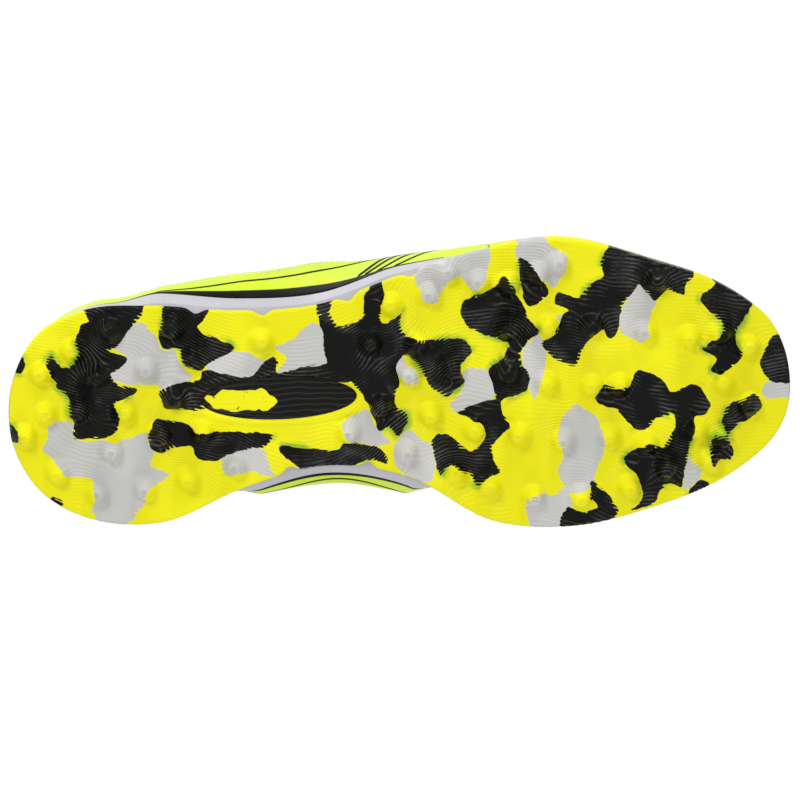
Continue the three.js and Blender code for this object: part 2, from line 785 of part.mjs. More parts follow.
// Adds a solid under its name, lifted by the toe spring
function addPiece(name, solid, look) {
  const { vertProperties, triVerts } = solid.getMesh();
  const geometry = new THREE.BufferGeometry();
  const position = new THREE.BufferAttribute(new Float32Array(vertProperties), 3);
  for (let n = 0; n < position.count; n += 1) {
    position.setZ(n, position.getZ(n) + springLift(position.getX(n)));
  }
  geometry.setAttribute('position', position);
  geometry.setIndex(new THREE.BufferAttribute(new Uint32Array(triVerts), 1));
  geometry.computeVertexNormals();
  const mesh = new THREE.Mesh(geometry, look.clone());
  mesh.name = name;
  group.add(mesh);
}

addPiece('outsole', outsole(), LOOK.rubber);
addPiece('waist_insert', waistInsert(), LOOK.black);
addPiece('midsole', midsole(), LOOK.midsole);
addPiece('insole_board', footLayer(SOCKLINER_EASE, 0, BOARD), LOOK.board);
addPiece('sockliner', footLayer(SOCKLINER_EASE, BOARD + CLEARANCE, SOCKLINER), LOOK.lining);

const vampSkin = { low: 0, high: 1, outer: 0, inner: -SKIN, openTop: true };
addPiece('vamp', overToe(T.seam + SEAM, vampSkin), LOOK.skin);
const vampLining = {
  low: 0, high: 1, outer: liningOuter, inner: (t, v) => liningOuter(t, v) - LINING, openTop: true,
};
addPiece('vamp_lining', overToe(T.seam + SEAM, vampLining), LOOK.lining);
const toePuff = { low: 0, high: 1, outer: STIFFENER_OUT, inner: STIFFENER_IN, openTop: true };
addPiece('toe_puff', overToe(T.puff, toePuff), LOOK.stiffener);
const toeGuard = {
  low: OVERLAY_LOW, high: COUNTER_ROW / ROWS, outer: CLEARANCE + OVERLAY, inner: CLEARANCE,
};
addPiece('toe_guard', overToe(T.guard, toeGuard), LOOK.overlay);

SIDES.forEach((side) => {
  addPiece(`${side}_quarter`, quarter(side), LOOK.skin);
  addPiece(`${side}_eyestay`, eyestay(side), LOOK.overlay);
  addPiece(`${side}_foxing_band`, foxing(side), LOOK.black);
  EYELET_NUMBERS.forEach((n) => {
    addPiece(`${side}_eyelet_${n + 1}`, eyelet(eyeletFrame(side, n)), LOOK.eyelet);
  });
});

addPiece('quarter_lining', quarterLining(), LOOK.lining);
const counter = { low: 0, high: COUNTER_ROW / ROWS, outer: STIFFENER_OUT, inner: STIFFENER_IN };
addPiece('heel_counter', roundHeel(T.counter, counter), LOOK.stiffener);
const collarFoam = {
  low: FOAM_ROW / ROWS, high: 1, outer: STIFFENER_OUT, inner: STIFFENER_OUT - COLLAR_PAD,
};
addPiece('collar_foam', roundHeel(T.foam, collarFoam), LOOK.foam);
addPiece('topline_binding', toplineBinding(), LOOK.lining);
const backstay = { low: OVERLAY_LOW, high: BACKSTAY_HIGH, outer: CLEARANCE + OVERLAY, inner: CLEARANCE };
addPiece('heel_backstay', roundHeel(T.backstay, backstay), LOOK.overlay);
const pullTab = {
  low: TAB_LOW, high: TAB_HIGH, outer: 2 * (CLEARANCE + OVERLAY), inner: 2 * CLEARANCE + OVERLAY,
};
addPiece('heel_pull_tab', roundHeel(T.tab, pullTab), LOOK.black);

addPiece('tongue_outer', tonguePiece({ outer: 0, inner: -TONGUE_SKIN }), LOOK.skin);
addPiece('tongue_foam', tonguePiece({ across: 0.94, outer: FOAM_TOP, inner: FOAM_LOW }), LOOK.foam);
const tongueLining = { outer: FOAM_LOW - CLEARANCE, inner: FOAM_LOW - CLEARANCE - LINING };
addPiece('tongue_lining', tonguePiece(tongueLining), LOOK.lining);
const label = { from: 0.76, to: 0.9, across: 0.42, outer: CLEARANCE + LABEL_THICKNESS };
addPiece('tongue_label', tonguePiece({ ...label, inner: CLEARANCE }), LOOK.overlay);
const keeper = { from: 0.42, to: 0.47, across: 0.6, outer: CLEARANCE + KEEPER_THICKNESS };
addPiece('lace_keeper', tonguePiece({ ...keeper, inner: CLEARANCE }), LOOK.black);

// The origin lies under the middle of the shoe's box, on the ground
const box = new THREE.Box3().setFromObject(group);
const centre = box.getCenter(new THREE.Vector3());
group.children.forEach((mesh) => mesh.geometry.translate(-centre.x, -centre.y, -box.min.z));

export default group;
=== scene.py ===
# %% [markdown]
# # A turf soccer shoe
# A soccer shoe for artificial turf is a rubber sole with many short studs, a foam midsole and a thin
# synthetic upper. This notebook dresses the exact CAD solids of one right shoe. The sole is the piece
# that the camera sees most of, so most of the work is there: a dense sheet whose studs, moulding
# ribs and poured colour patches all come from a few chosen points.

import math

import bmesh
import bpy
import numpy as np
from mathutils import Matrix, Vector


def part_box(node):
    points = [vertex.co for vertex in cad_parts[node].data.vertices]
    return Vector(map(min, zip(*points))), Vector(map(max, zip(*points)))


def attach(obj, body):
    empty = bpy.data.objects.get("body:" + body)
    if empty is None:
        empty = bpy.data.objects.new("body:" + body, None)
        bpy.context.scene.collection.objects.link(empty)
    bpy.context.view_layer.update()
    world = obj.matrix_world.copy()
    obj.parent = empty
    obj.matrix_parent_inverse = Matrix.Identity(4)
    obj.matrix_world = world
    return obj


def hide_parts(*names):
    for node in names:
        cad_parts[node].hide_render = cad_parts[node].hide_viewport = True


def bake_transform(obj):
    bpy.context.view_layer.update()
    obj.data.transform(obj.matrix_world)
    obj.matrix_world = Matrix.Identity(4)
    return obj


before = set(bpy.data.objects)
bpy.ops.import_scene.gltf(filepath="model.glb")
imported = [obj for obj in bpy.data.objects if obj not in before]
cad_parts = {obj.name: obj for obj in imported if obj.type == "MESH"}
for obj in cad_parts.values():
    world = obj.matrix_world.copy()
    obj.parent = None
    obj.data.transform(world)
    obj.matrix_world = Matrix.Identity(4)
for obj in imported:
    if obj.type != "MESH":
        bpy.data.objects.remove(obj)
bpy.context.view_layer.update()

# %% [markdown]
# The CAD is drawn in millimetres from the heel point. Blender works in metres from the middle of the
# shoe, so one function carries drawn points over, and lifts them by the toe spring as the last does.

# %% Units, sizes and the change of place
MM = 0.001
SOLE_LENGTH = 286.0
TOE_SPRING = 9.0
BALL = 0.68
DRAWN_SHIFT_Y = 6.55
SHIFT_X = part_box("outsole")[0].x / MM


def to_frame(x, y, z):
    """Drawn millimetres to the frame's metres, with the toe spring."""
    ahead = np.clip(x / SOLE_LENGTH - BALL, 0, None) / (1 - BALL)
    lifted = z + TOE_SPRING * ahead * ahead
    return np.stack([x + SHIFT_X, y + DRAWN_SHIFT_Y, lifted], axis=-1) * MM


print("heel point:", to_frame(np.array(0.0), np.array(0.0), np.array(0.0)).round(4))

# %% [markdown]
# ## Camera and light
# The shoe is seen from straight under the sole, with the toe to the right. A long lens keeps the two
# ends of the sole at one scale, and a tilt of fourteen degrees brings the lateral sidewall into view.
# The floor is pale and one-sided: from above it is a floor, and from below it lets the view and the
# light through, so the sole can be looked at with the shoe standing on it.

# %% Camera
SENSOR = 36.0
CAMERA_TILT = math.radians(14.0)
CAMERA_ROLL = math.radians(2.0)
CAMERA_DISTANCE = 1.5
CAMERA_TARGET = Vector((-0.0002, 0.0049, 0.0104))

back = Vector((0, -math.sin(CAMERA_TILT), -math.cos(CAMERA_TILT)))
level_up = back.cross(Vector((1, 0, 0)))
right = math.cos(CAMERA_ROLL) * Vector((1, 0, 0)) - math.sin(CAMERA_ROLL) * level_up
up = back.cross(right)
camera_data = bpy.data.cameras.new("camera")
camera_data.sensor_width = SENSOR
LENS_LENGTH = 184.6
camera_data.lens = LENS_LENGTH
camera = bpy.data.objects.new("camera", camera_data)
bpy.context.scene.collection.objects.link(camera)
camera.matrix_world = Matrix((right, up, back)).transposed().to_4x4()
camera.location = CAMERA_TARGET + back * CAMERA_DISTANCE
camera_data.clip_end = 50
bpy.context.scene.camera = camera
print("camera at", [round(c, 3) for c in camera.location])

# %% Small makers for shader nodes
def new_material(name):
    """A material with only its Principled shader and output."""
    material = bpy.data.materials.new(name)
    material.use_nodes = True
    return material, material.node_tree.nodes, material.node_tree.links


def shader_of(material):
    return material.node_tree.nodes["Principled BSDF"]


def put(tree, kind, **settings):
    """Adds a node; a setting is a property, or a socket's value when it starts with s_."""
    node = tree.nodes.new(kind)
    for key, value in settings.items():
        if key.startswith("s_"):
            node.inputs[key[2:].replace("_", " ")].default_value = value
        else:
            setattr(node, key, value)
    return node


def maths(tree, operation, a, b=None, c=None):
    """A Math node fed by numbers or sockets, returning its output."""
    node = put(tree, "ShaderNodeMath", operation=operation)
    for socket, value in zip(node.inputs, (a, b, c)):
        if value is None:
            continue
        if isinstance(value, (int, float)):
            socket.default_value = value
        else:
            tree.links.new(value, socket)
    return node.outputs[0]


def blend_colours(tree, factor, low, high):
    """A colour Mix node fed by colours or sockets, returning its output."""
    node = put(tree, "ShaderNodeMix", data_type="RGBA")
    tree.links.new(factor, node.inputs[0])
    for socket, value in ((node.inputs[6], low), (node.inputs[7], high)):
        if isinstance(value, tuple):
            socket.default_value = (*value, 1)
        else:
            tree.links.new(value, socket)
    return node.outputs[2]


def soft_step(tree, value, low, high):
    """0 below low, 1 above high, smooth between."""
    node = put(tree, "ShaderNodeMapRange", interpolation_type="SMOOTHSTEP")
    tree.links.new(value, node.inputs[0])
    node.inputs[1].default_value = low
    node.inputs[2].default_value = high
    return node.outputs[0]


def attribute(tree, name):
    return put(tree, "ShaderNodeAttribute", attribute_name=name).outputs["Fac"]


def object_noise(tree, scale, detail=2.0, roughness=0.5):
    """Noise that stands still on the object."""
    place = put(tree, "ShaderNodeTexCoord")
    node = put(tree, "ShaderNodeTexNoise", s_Scale=scale, s_Detail=detail, s_Roughness=roughness)
    tree.links.new(place.outputs["Object"], node.inputs["Vector"])
    return node.outputs[0]


def bump(material, height, distance, strength=1.0):
    """Feeds a height of 0 to 1, distance metres deep, to the shader's normal."""
    tree = material.node_tree
    node = put(tree, "ShaderNodeBump", s_Strength=strength, s_Distance=distance)
    tree.links.new(height, node.inputs["Height"])
    tree.links.new(node.outputs[0], shader_of(material).inputs["Normal"])


# %% Floor, world and lamps
def one_sided_floor():
    """A pale floor that can't be seen, and casts nothing, from below."""
    material, _, links = new_material("floor_pale")
    tree = material.node_tree
    shader_of(material).inputs["Base Color"].default_value = (0.86, 0.86, 0.86, 1)
    shader_of(material).inputs["Roughness"].default_value = 0.9
    side = put(tree, "ShaderNodeNewGeometry")
    clear = put(tree, "ShaderNodeBsdfTransparent")
    mix = put(tree, "ShaderNodeMixShader")
    links.new(side.outputs["Backfacing"], mix.inputs[0])
    links.new(shader_of(material).outputs[0], mix.inputs[1])
    links.new(clear.outputs[0], mix.inputs[2])
    links.new(mix.outputs[0], tree.nodes["Material Output"].inputs["Surface"])
    return material


FLOOR_DROP = 0.0004
shape = bmesh.new()
bmesh.ops.create_grid(shape, x_segments=1, y_segments=1, size=6)
bmesh.ops.translate(shape, verts=shape.verts, vec=(0, 0, -FLOOR_DROP))
floor_mesh = bpy.data.meshes.new("floor")
shape.to_mesh(floor_mesh)
shape.free()
floor = bpy.data.objects.new("floor", floor_mesh)
bpy.context.scene.collection.objects.link(floor)
floor_mesh.materials.append(one_sided_floor())
floor.visible_diffuse = False
floor.visible_glossy = False
floor.visible_shadow = False
bpy.context.scene.view_settings.view_transform = "Standard"

world = bpy.data.worlds.new("studio")
world.use_nodes = True
AIR_SEEN, AIR_LIGHT = 1.0, 0.77
backdrop = world.node_tree.nodes["Background"]
backdrop.inputs["Color"].default_value = (1, 1, 1, 1)
looked_at = put(world.node_tree, "ShaderNodeLightPath").outputs["Is Camera Ray"]
strength = maths(world.node_tree, "MULTIPLY_ADD", looked_at, AIR_SEEN - AIR_LIGHT, AIR_LIGHT)
world.node_tree.links.new(strength, backdrop.inputs["Strength"])
bpy.context.scene.world = world


def soft_lamp(name, place, size, power):
    """An area lamp that faces the middle of the shoe."""
    data = bpy.data.lights.new(name, "AREA")
    data.size = size
    data.energy = power
    lamp = bpy.data.objects.new(name, data)
    lamp.location = place
    lamp.rotation_mode = "QUATERNION"
    lamp.rotation_quaternion = (Vector(place) - Vector((0, 0, 0.04))).to_track_quat("Z", "Y")
    bpy.context.scene.collection.objects.link(lamp)


soft_lamp("sole_key", (-0.5, -0.75, -0.8), 0.3, 4)
soft_lamp("sole_fill", (0.1, 1.0, -0.4), 0.4, 2)
soft_lamp("sole_rake", (0.3, -1.0, -0.3), 0.3, 3)
soft_lamp("top_key", (-0.6, -0.8, 1.1), 0.6, 7)
soft_lamp("top_fill", (0.8, 0.7, 0.9), 0.9, 2)

# %% [markdown]
# ## The sole's plan
# A shoe's outline is a smooth closed curve. Thirteen widths along the sole, the heel point and the toe
# point are enough to draw it, with a spline whose knots are spaced by distance so that it never
# overshoots. A place on the outline is one number: 0 at the heel, 0.5 at the toe, with the lateral
# side before the toe and the medial side after.

# %% Outline
PLAN = [
    (0.01, -17, 15), (0.042, -31.5, 29), (0.105, -40.5, 38.8), (0.192, -41, 40.2),
    (0.297, -38.2, 28.2), (0.402, -39.6, 21), (0.507, -49.6, 26.3), (0.612, -57.9, 44),
    (0.717, -60.3, 47.2), (0.822, -51.1, 41.3), (0.909, -40.9, 32.5), (0.972, -26.9, 19.8),
    (0.993, -15.2, 10.5),
]
TOE_POINT = (SOLE_LENGTH, -1.0)
KNOTS = np.array(
    [(0.0, 0.0)]
    + [(f * SOLE_LENGTH, lateral) for f, lateral, _ in PLAN]
    + [TOE_POINT]
    + [(f * SOLE_LENGTH, medial) for f, _, medial in reversed(PLAN)]
)


def outline(place):
    """Points of the closed centripetal spline through the knots, as rows of x, y."""
    count = len(KNOTS)
    along = np.mod(place, 1.0) * count
    knot = np.floor(along).astype(int)
    w = (along - knot)[..., None]
    a, b, c, d = (KNOTS[(knot + k) % count] for k in (-1, 0, 1, 2))
    spans = [np.linalg.norm(q - p, axis=-1, keepdims=True) ** 0.5 for p, q in ((a, b), (b, c), (c, d))]
    d0, d1, d2 = spans
    leave = ((b - a) / d0 - (c - a) / (d0 + d1) + (c - b) / d1) * d1
    arrive = ((c - b) / d1 - (d - b) / (d1 + d2) + (d - c) / d2) * d1
    cubic = 2 * b - 2 * c + leave + arrive
    square = -3 * b + 3 * c - 2 * leave - arrive
    return ((cubic * w + square) * w + leave) * w + b


def edge(place):
    """Point, outward direction, how far along the shoe, and whether it is the lateral side."""
    place = np.asarray(place, float)
    step = 1e-4
    point = outline(place)
    along = outline(place + step) - outline(place - step)
    out = np.stack([along[..., 1], -along[..., 0]], axis=-1)
    out /= np.linalg.norm(out, axis=-1, keepdims=True)
    fraction = (point[..., 0] + outline(1 - place)[..., 0]) / (2 * SOLE_LENGTH)
    return point, out, fraction, np.mod(place, 1.0) < 0.5


outline_steps = np.diff(outline(np.linspace(0, 1, 2000)), axis=0)
print("outline length:", round(float(np.linalg.norm(outline_steps, axis=1).sum())), "mm")

# %% Ramps and plateaus
def ramp(value, low, high):
    w = np.clip((np.asarray(value, float) - low) / (high - low), 0, 1)
    return w * w * (3 - 2 * w)


def plateau(value, limits):
    a, b, c, d = limits
    return ramp(value, a, b) * (1 - ramp(value, c, d))


def mix(a, b, w):
    return a + (b - a) * w


def two_sided(lateral_side, lateral, medial):
    """A plateau on each side of the shoe, chosen by the side that a place is on."""
    return lambda fraction: np.where(lateral_side, plateau(fraction, lateral), plateau(fraction, medial))


# %% [markdown]
# ## The outsole's sheet
# The rubber is one dense grid that runs in rungs from the lateral edge to the medial edge. A grid is
# used because everything on this sole is a height or a colour at a point: soft studs that sink back
# into the plate, ribs that flow round them, and patches of black and grey poured into the yellow.
# The grid's last rows turn up round the edge and over the rim.

# %% Stud places and their soft shape
STUD_HEIGHT = 5.5
PLATE_TOP = 7.7
RIM_THICKNESS = 2.0
RIM_HEIGHT = 6.5
BARE_EDGE = ((0.05, 0.08, 0.61, 0.66), (0.19, 0.235, 0.585, 0.62))
FLARE = ((0.135, 0.2, 0.48, 0.605), (0.24, 0.31, 0.52, 0.56))
NOTCH_PLACES = ((70.0, 94.0, 125.0, 148.0), (102.0, 130.0))
NOTCH_DEPTH, NOTCH_HALF = 2.0, 2.6
# Stud centres: a separate program worked most of them out in millimetres, some were moved by hand
STUDS = np.array([
    (6, 6), (12, -17), (14, -3), (17, 21), (24, -26), (26, -3), (32, -15), (31, 28),
    (37, 13), (38, -33), (43, -2), (48, 28), (51, -18), (55, 8), (60, -33), (61, -7),
    (64, 25), (67, -21), (71, 7), (81, 20), (94, -27), (123, 9), (133, -25), (136, 0),
    (140, -39), (145, 17), (146, -12), (150, -24), (154, 4), (154, -42), (162, -50), (162, -13),
    (162, 25), (170, 10), (172, -46), (175, 31), (182, -11), (183, -29), (184, -44), (185, 12),
    (191, 35), (194, -47), (197, -29), (197, -7), (201, 15), (202, -52), (208, 37), (212, -6),
    (214, -28), (218, 14), (223, -6), (226, 34), (232, -25), (233, 17), (237, -43), (240, 26),
    (249, -21), (250, 13), (261, 17), (255, 26), (261, -5), (261, -22), (270, 5), (271, -17),
], float)
STUD_SKIRT = 6.1
STUD_TIP = 1.5
DIMPLE_DEPTH = 0.35


def stud_field(x, y):
    """Stud height from 0 to 1, and the ribs' swirl in millimetres, at drawn points."""
    height = np.zeros_like(x)
    swirl = np.zeros_like(x)
    for number, (cx, cy) in enumerate(STUDS):
        dx, dy = x - cx, y - cy
        near = np.hypot(dx, dy)
        lean = number * 2.4 + cx * 0.02
        toward = (dx * math.cos(lean) + dy * math.sin(lean)) / np.maximum(near, 1e-6)
        reach = near * (1 + 0.2 * toward)
        dome = 1 - ramp(reach, STUD_TIP * 0.6, STUD_SKIRT * 0.86)
        height = np.maximum(height, dome ** 0.85)
        swirl += 5.2 * np.exp(-((reach / 5.4) ** 2)) * (1 if number % 3 else -1)
    return height, swirl


# %% Grid of the sheet
RUNGS = 430
ACROSS = 164


def rung_places():
    """Places on the lateral side, spaced evenly by the length of the two edges."""
    fine = np.linspace(0, 0.5, 3000)
    length = [np.linalg.norm(np.diff(outline(side), axis=0), axis=1) for side in (fine, 1 - fine)]
    run = np.concatenate([[0], np.cumsum(length[0] + length[1])])
    return np.interp(np.linspace(0, run[-1], RUNGS + 1), run, fine)


def rubber_edge(place):
    """The sole's edge with the small notches that the rubber has where it has no rim."""
    point, out, fraction, lateral = edge(place)
    x = fraction * SOLE_LENGTH
    cuts = [sum(np.exp(-(((x - middle) / NOTCH_HALF) ** 2)) for middle in side) for side in NOTCH_PLACES]
    depth = NOTCH_DEPTH * np.where(lateral, cuts[0], cuts[1])
    return point - out * depth[..., None], out, fraction, lateral


def edge_distance(x, y):
    """Distance from drawn points to the rubber's edge."""
    ring = rubber_edge(np.linspace(0, 1, 1400, endpoint=False))[0]
    best = np.full(x.shape, 1e9)
    for start in range(0, len(ring), 60):
        part = ring[start:start + 60]
        gap = np.hypot(x[..., None] - part[:, 0], y[..., None] - part[:, 1]).min(-1)
        best = np.minimum(best, gap)
    return best


rungs = rung_places()
across = np.linspace(0, 1, ACROSS + 1)
lateral_edge, medial_edge = rubber_edge(rungs)[0], rubber_edge(1 - rungs)[0]
sheet_x = mix(lateral_edge[:, None, 0], medial_edge[:, None, 0], across)
sheet_y = mix(lateral_edge[:, None, 1], medial_edge[:, None, 1], across)
print("sheet cells:", RUNGS * ACROSS, "longest rung:", round(float(np.ptp(sheet_y, axis=1).max()), 1), "mm")

# %% [markdown]
# ## Colour patches
# The black and grey are poured blots with rounded lobes. Each one is a list of corners, which are cut
# twice to round them, and every point of the sheet keeps its distance to the nearest blot. A separate
# program worked the corners out in millimetres, and many were then moved a little by hand. The shader
# draws the line where that distance is zero, which stays sharp at any zoom and can be made to wander
# along the ribs.

# %% Black blots
BLACK_BLOTS = [
    [(28, -43), (52, -44), (50, -37), (44, -32), (42, -27), (37, -25), (44, -22), (41, -18), (38, -16),
     (41, -12), (48, -11), (47, -9), (41, -6), (39, -5), (41, 0), (39, 5), (35, 8), (23, 8), (24, 2),
     (22, -4), (22, -8), (18, -13), (14, -21), (17, -26), (20, -19), (24, -20), (27, -25), (25, -30),
     (28, -35), (32, -36)],
    [(60, -44), (69, -43), (71, -38), (78, -42), (72, -35), (70, -33), (73, -30), (85, -25), (79, -21),
     (73, -19), (71, -16), (64, -20), (63, -25), (57, -25), (56, -29), (57, -35)],
    [(54, -9), (60, -12), (71, -13), (71, -17), (88, -13), (92, -17), (97, -22), (100, -19), (98, -15),
     (108, -17), (118, -17), (131, -16), (131, -11), (122, -10), (112, -9), (104, -4), (96, 0),
     (84, -1), (64, -2), (57, -2)],
    [(54, 1), (50, 7), (52, 13), (55, 14), (59, 12), (66, 12), (68, 17), (75, 18), (83, 14), (93, 13),
     (97, 8), (80, 7), (68, 6), (63, 3), (58, 2)],
    [(112, -43), (122, -45), (118, -36), (122, -31), (131, -33), (132, -45), (137, -49), (139, -44),
     (136, -33), (139, -31), (146, -38), (144, -31), (146, -27), (155, -25), (166, -26), (171, -20),
     (165, -15), (167, -9), (160, -1), (153, -9), (149, -17), (145, -20), (141, -15), (143, -11),
     (140, -2), (146, 2), (146, 6), (142, 12), (138, 7), (135, 9), (133, 4), (130, -5), (125, -11),
     (117, -16), (116, -30)],
    [(182, -49), (186, -42), (191, -31), (195, -27), (188, -21), (187, -16), (190, -9), (189, -4),
     (179, -2), (179, 4), (183, 8), (176, 15), (176, 21), (179, 26), (174, 27), (170, 31), (166, 24),
     (160, 22), (156, 28), (153, 14), (156, 10), (161, 11), (168, 19), (174, 13), (173, 7), (168, 4),
     (162, 3), (173, -2), (178, -2), (177, -7), (175, -13), (181, -17), (183, -23), (176, -26),
     (168, -29), (165, -35), (167, -39), (175, -42), (180, -45)],
    [(187, -55), (193, -51), (198, -43), (198, -40), (191, -35), (188, -41)],
    [(222, -58), (236, -56), (252, -51), (251, -44), (247, -41), (248, -37), (241, -40), (236, -35),
     (231, -44), (229, -41), (224, -34), (223, -26), (220, -22), (217, -27), (211, -22), (207, -12),
     (201, -15), (194, -22), (200, -26), (203, -33), (206, -34), (200, -37), (201, -42), (209, -38),
     (214, -44), (219, -46), (216, -52)],
    [(260, -46), (274, -37), (271, -29), (265, -21), (269, -15), (265, -10), (260, -7), (256, -9),
     (260, -13), (253, -17), (257, -20), (262, -25), (258, -30), (252, -36), (258, -40)],
    [(282, -22), (290, -12), (290, -3), (283, -2), (278, -3), (275, -9), (277, -16)],
    [(273, 0), (276, 6), (269, 11), (262, 16), (260, 10), (262, 4), (269, 2)],
    [(257, 15), (262, 15), (265, 23), (263, 26), (259, 24), (257, 27), (255, 23)],
    [(213, 0), (217, -7), (227, -5), (230, -11), (238, -8), (241, -1), (249, -5), (253, -2),
     (256, 4), (254, 8), (250, 8), (248, 20), (246, 30), (245, 35), (240, 32), (236, 36), (235, 41),
     (224, 43), (231, 38), (230, 31), (223, 23), (226, 19), (231, 18), (234, 16), (238, 20),
     (244, 10), (243, 6), (237, 7), (231, 13), (225, 9), (221, 3)],
    [(212, 29), (218, 35), (222, 43), (215, 48), (198, 50), (203, 39), (208, 43), (215, 41), (211, 36)],
    [(247, 37), (252, 31), (256, 34), (252, 38)],
    [(98, 13), (106, 13), (119, 16), (122, 12), (128, 13), (137, 15), (138, 22), (130, 19), (120, 24),
     (109, 26), (100, 16)],
    [(0, -25), (7, -24), (6, -17), (1, -19)],
    [(-2, 0), (4, 3), (3, 8), (-1, 8)],
    [(14, 29), (18, 31), (17, 34), (13, 33)],
]
GREY_BLOTS = [
    [(50, -36), (55, -30), (57, -25), (62, -25), (64, -20), (69, -13), (58, -8), (54, -12), (50, -11),
     (38, -13), (36, -15), (38, -18), (42, -19), (45, -24), (37, -26), (43, -31), (46, -34)],
    [(82, -23), (88, -24), (91, -20), (97, -19), (94, -12), (88, -5), (87, -12), (72, -16), (75, -21)],
    [(112, -33), (116, -30), (117, -22), (116, -15), (103, -15), (97, -11), (98, -16), (102, -20),
     (97, -24), (106, -28)],
    [(14, 1), (22, 0), (24, 3), (23, 8), (35, 8), (39, 10), (50, 5), (53, 13), (50, 19), (59, 22),
     (49, 28), (48, 33), (40, 42), (32, 41), (28, 34), (30, 29), (29, 23), (20, 22), (17, 17),
     (11, 12), (14, 7)],
    [(76, 16), (87, 12), (93, 14), (94, 19), (98, 26), (85, 21), (78, 23)],
    [(131, -1), (133, 6), (140, 13), (135, 15), (128, 13), (122, 11), (121, 5)],
    [(145, -22), (145, -18), (150, -14), (151, -9), (145, -8), (141, -15)],
    [(145, 7), (152, 13), (155, 14), (156, 22), (153, 29), (145, 27), (140, 21), (140, 14)],
    [(151, -55), (160, -60), (174, -60), (177, -58), (177, -51), (173, -45), (170, -43), (167, -48),
     (163, -48), (159, -43), (158, -39), (153, -40), (149, -48)],
    [(187, -64), (196, -64), (199, -58), (205, -57), (204, -49), (200, -42), (197, -45), (191, -51),
     (187, -53)],
    [(194, -27), (197, -18), (192, 0), (189, -9), (187, -20)],
    [(168, -15), (175, -13), (178, -7), (177, 0), (164, 4), (160, -1), (167, -8), (165, -13)],
    [(207, 0), (215, 7), (217, 12), (216, 22), (212, 33), (204, 35), (199, 26), (202, 19), (199, 13),
     (201, 6)],
    [(201, 31), (205, 38), (202, 48), (190, 50), (187, 37), (192, 33), (198, 35)],
    [(234, -52), (232, -43), (238, -36), (233, -28), (235, -24), (230, -21), (223, -25), (224, -34),
     (229, -41), (230, -46)],
    [(277, -3), (289, -6), (288, 4), (277, 4), (275, 1)],
    [(247, 21), (254, 31), (245, 37)],
    [(200, -34), (206, -31), (201, -30)],
]


def rounded(corners):
    """Cuts a closed outline's corners twice."""
    points = np.array(corners, float)
    for cut in (0.17, 0.25):
        after = np.roll(points, -1, axis=0)
        points = np.stack([mix(points, after, cut), mix(points, after, 1 - cut)], 1).reshape(-1, 2)
    return points


def signed_distance(x, y, corners):
    """Distance to a closed outline, below zero inside it."""
    best = np.full(x.shape, 1e9)
    inside = np.zeros(x.shape, bool)
    for (ax, ay), (bx, by) in zip(corners, np.roll(corners, -1, axis=0)):
        ex, ey = bx - ax, by - ay
        w = np.clip(((x - ax) * ex + (y - ay) * ey) / (ex * ex + ey * ey + 1e-9), 0, 1)
        best = np.minimum(best, np.hypot(x - ax - w * ex, y - ay - w * ey))
        crosses = (ay > y) != (by > y)
        inside ^= crosses & (x < ax + (y - ay) * ex / (ey if ey else 1e-9))
    return np.where(inside, -best, best)


def blot_distance(x, y, blots, reach=12.0):
    """Distance to the nearest of many blots; each is only worked out near itself."""
    best = np.full(x.shape, reach)
    for corners in map(rounded, blots):
        low, high = corners.min(0) - reach, corners.max(0) + reach
        near = (x > low[0]) & (x < high[0]) & (y > low[1]) & (y < high[1])
        best[near] = np.minimum(best[near], signed_distance(x[near], y[near], corners))
    return best


black_edge = blot_distance(sheet_x, sheet_y, BLACK_BLOTS)
grey_edge = blot_distance(sheet_x, sheet_y, GREY_BLOTS)
for patch_name, patch_edge in (("black", black_edge), ("grey", grey_edge)):
    print(patch_name, "share:", round(float((patch_edge < 0).mean()), 3))

# %% [markdown]
# ## Pieces from a grid
# Almost every piece of this shoe is a sheet, so a few small makers help to turn a plain bmesh grid into a
# piece: they make the grid, move its points to their places, keep numbers on them and make the object.
# Each piece welds what closes up and turns its faces outward itself.

# %% Piece maker
def finish_piece(name, shape, material, smooth=True):
    """Turns a bmesh into an object with its material."""
    mesh = bpy.data.meshes.new(name)
    shape.to_mesh(mesh)
    shape.free()
    mesh.materials.append(material)
    if smooth:
        mesh.shade_smooth()
    piece = bpy.data.objects.new(name, mesh)
    bpy.context.scene.collection.objects.link(piece)
    return piece


def grid_shape(columns, rows):
    """A bmesh grid and its points' (column, row) numbers, in the order of its points."""
    shape = bmesh.new()
    bmesh.ops.create_grid(shape, x_segments=columns, y_segments=rows, size=0.5)
    shape.verts.ensure_lookup_table()
    flat = np.array([v.co[:2] for v in shape.verts]) + 0.5
    column = np.rint(flat[:, 0] * columns).astype(int)
    row = np.rint(flat[:, 1] * rows).astype(int)
    return shape, column, row


def set_floats(shape, name, values):
    """Keeps one number for each point of a bmesh, for a shader to read."""
    layer = shape.verts.layers.float.new(name)
    for vert, value in zip(shape.verts, values):
        vert[layer] = float(value)


def set_places(shape, places):
    """Moves a mesh's points to the places given, in their order."""
    for vert, place in zip(shape.verts, places):
        vert.co = place


# %% Build the outsole
WINDOW_CENTRE = (0.345 * SOLE_LENGTH, -5.0)
WINDOW_HALF = (30.0, 8.5)
EDGE_RADIUS = 1.1


def window_distance(x, y):
    """About how far outside the waist window's ellipse a point lies, in millimetres."""
    along_window = (x - WINDOW_CENTRE[0]) / WINDOW_HALF[0]
    across_window = (y - WINDOW_CENTRE[1]) / WINDOW_HALF[1]
    return (np.hypot(along_window, across_window) - 1) * WINDOW_HALF[1]


def lip(distance, radius):
    """Height of a rounded edge of a radius at a distance inside it."""
    inward = np.clip(1 - distance / radius, 0, 1)
    return radius * (1 - np.sqrt(1 - inward * inward))


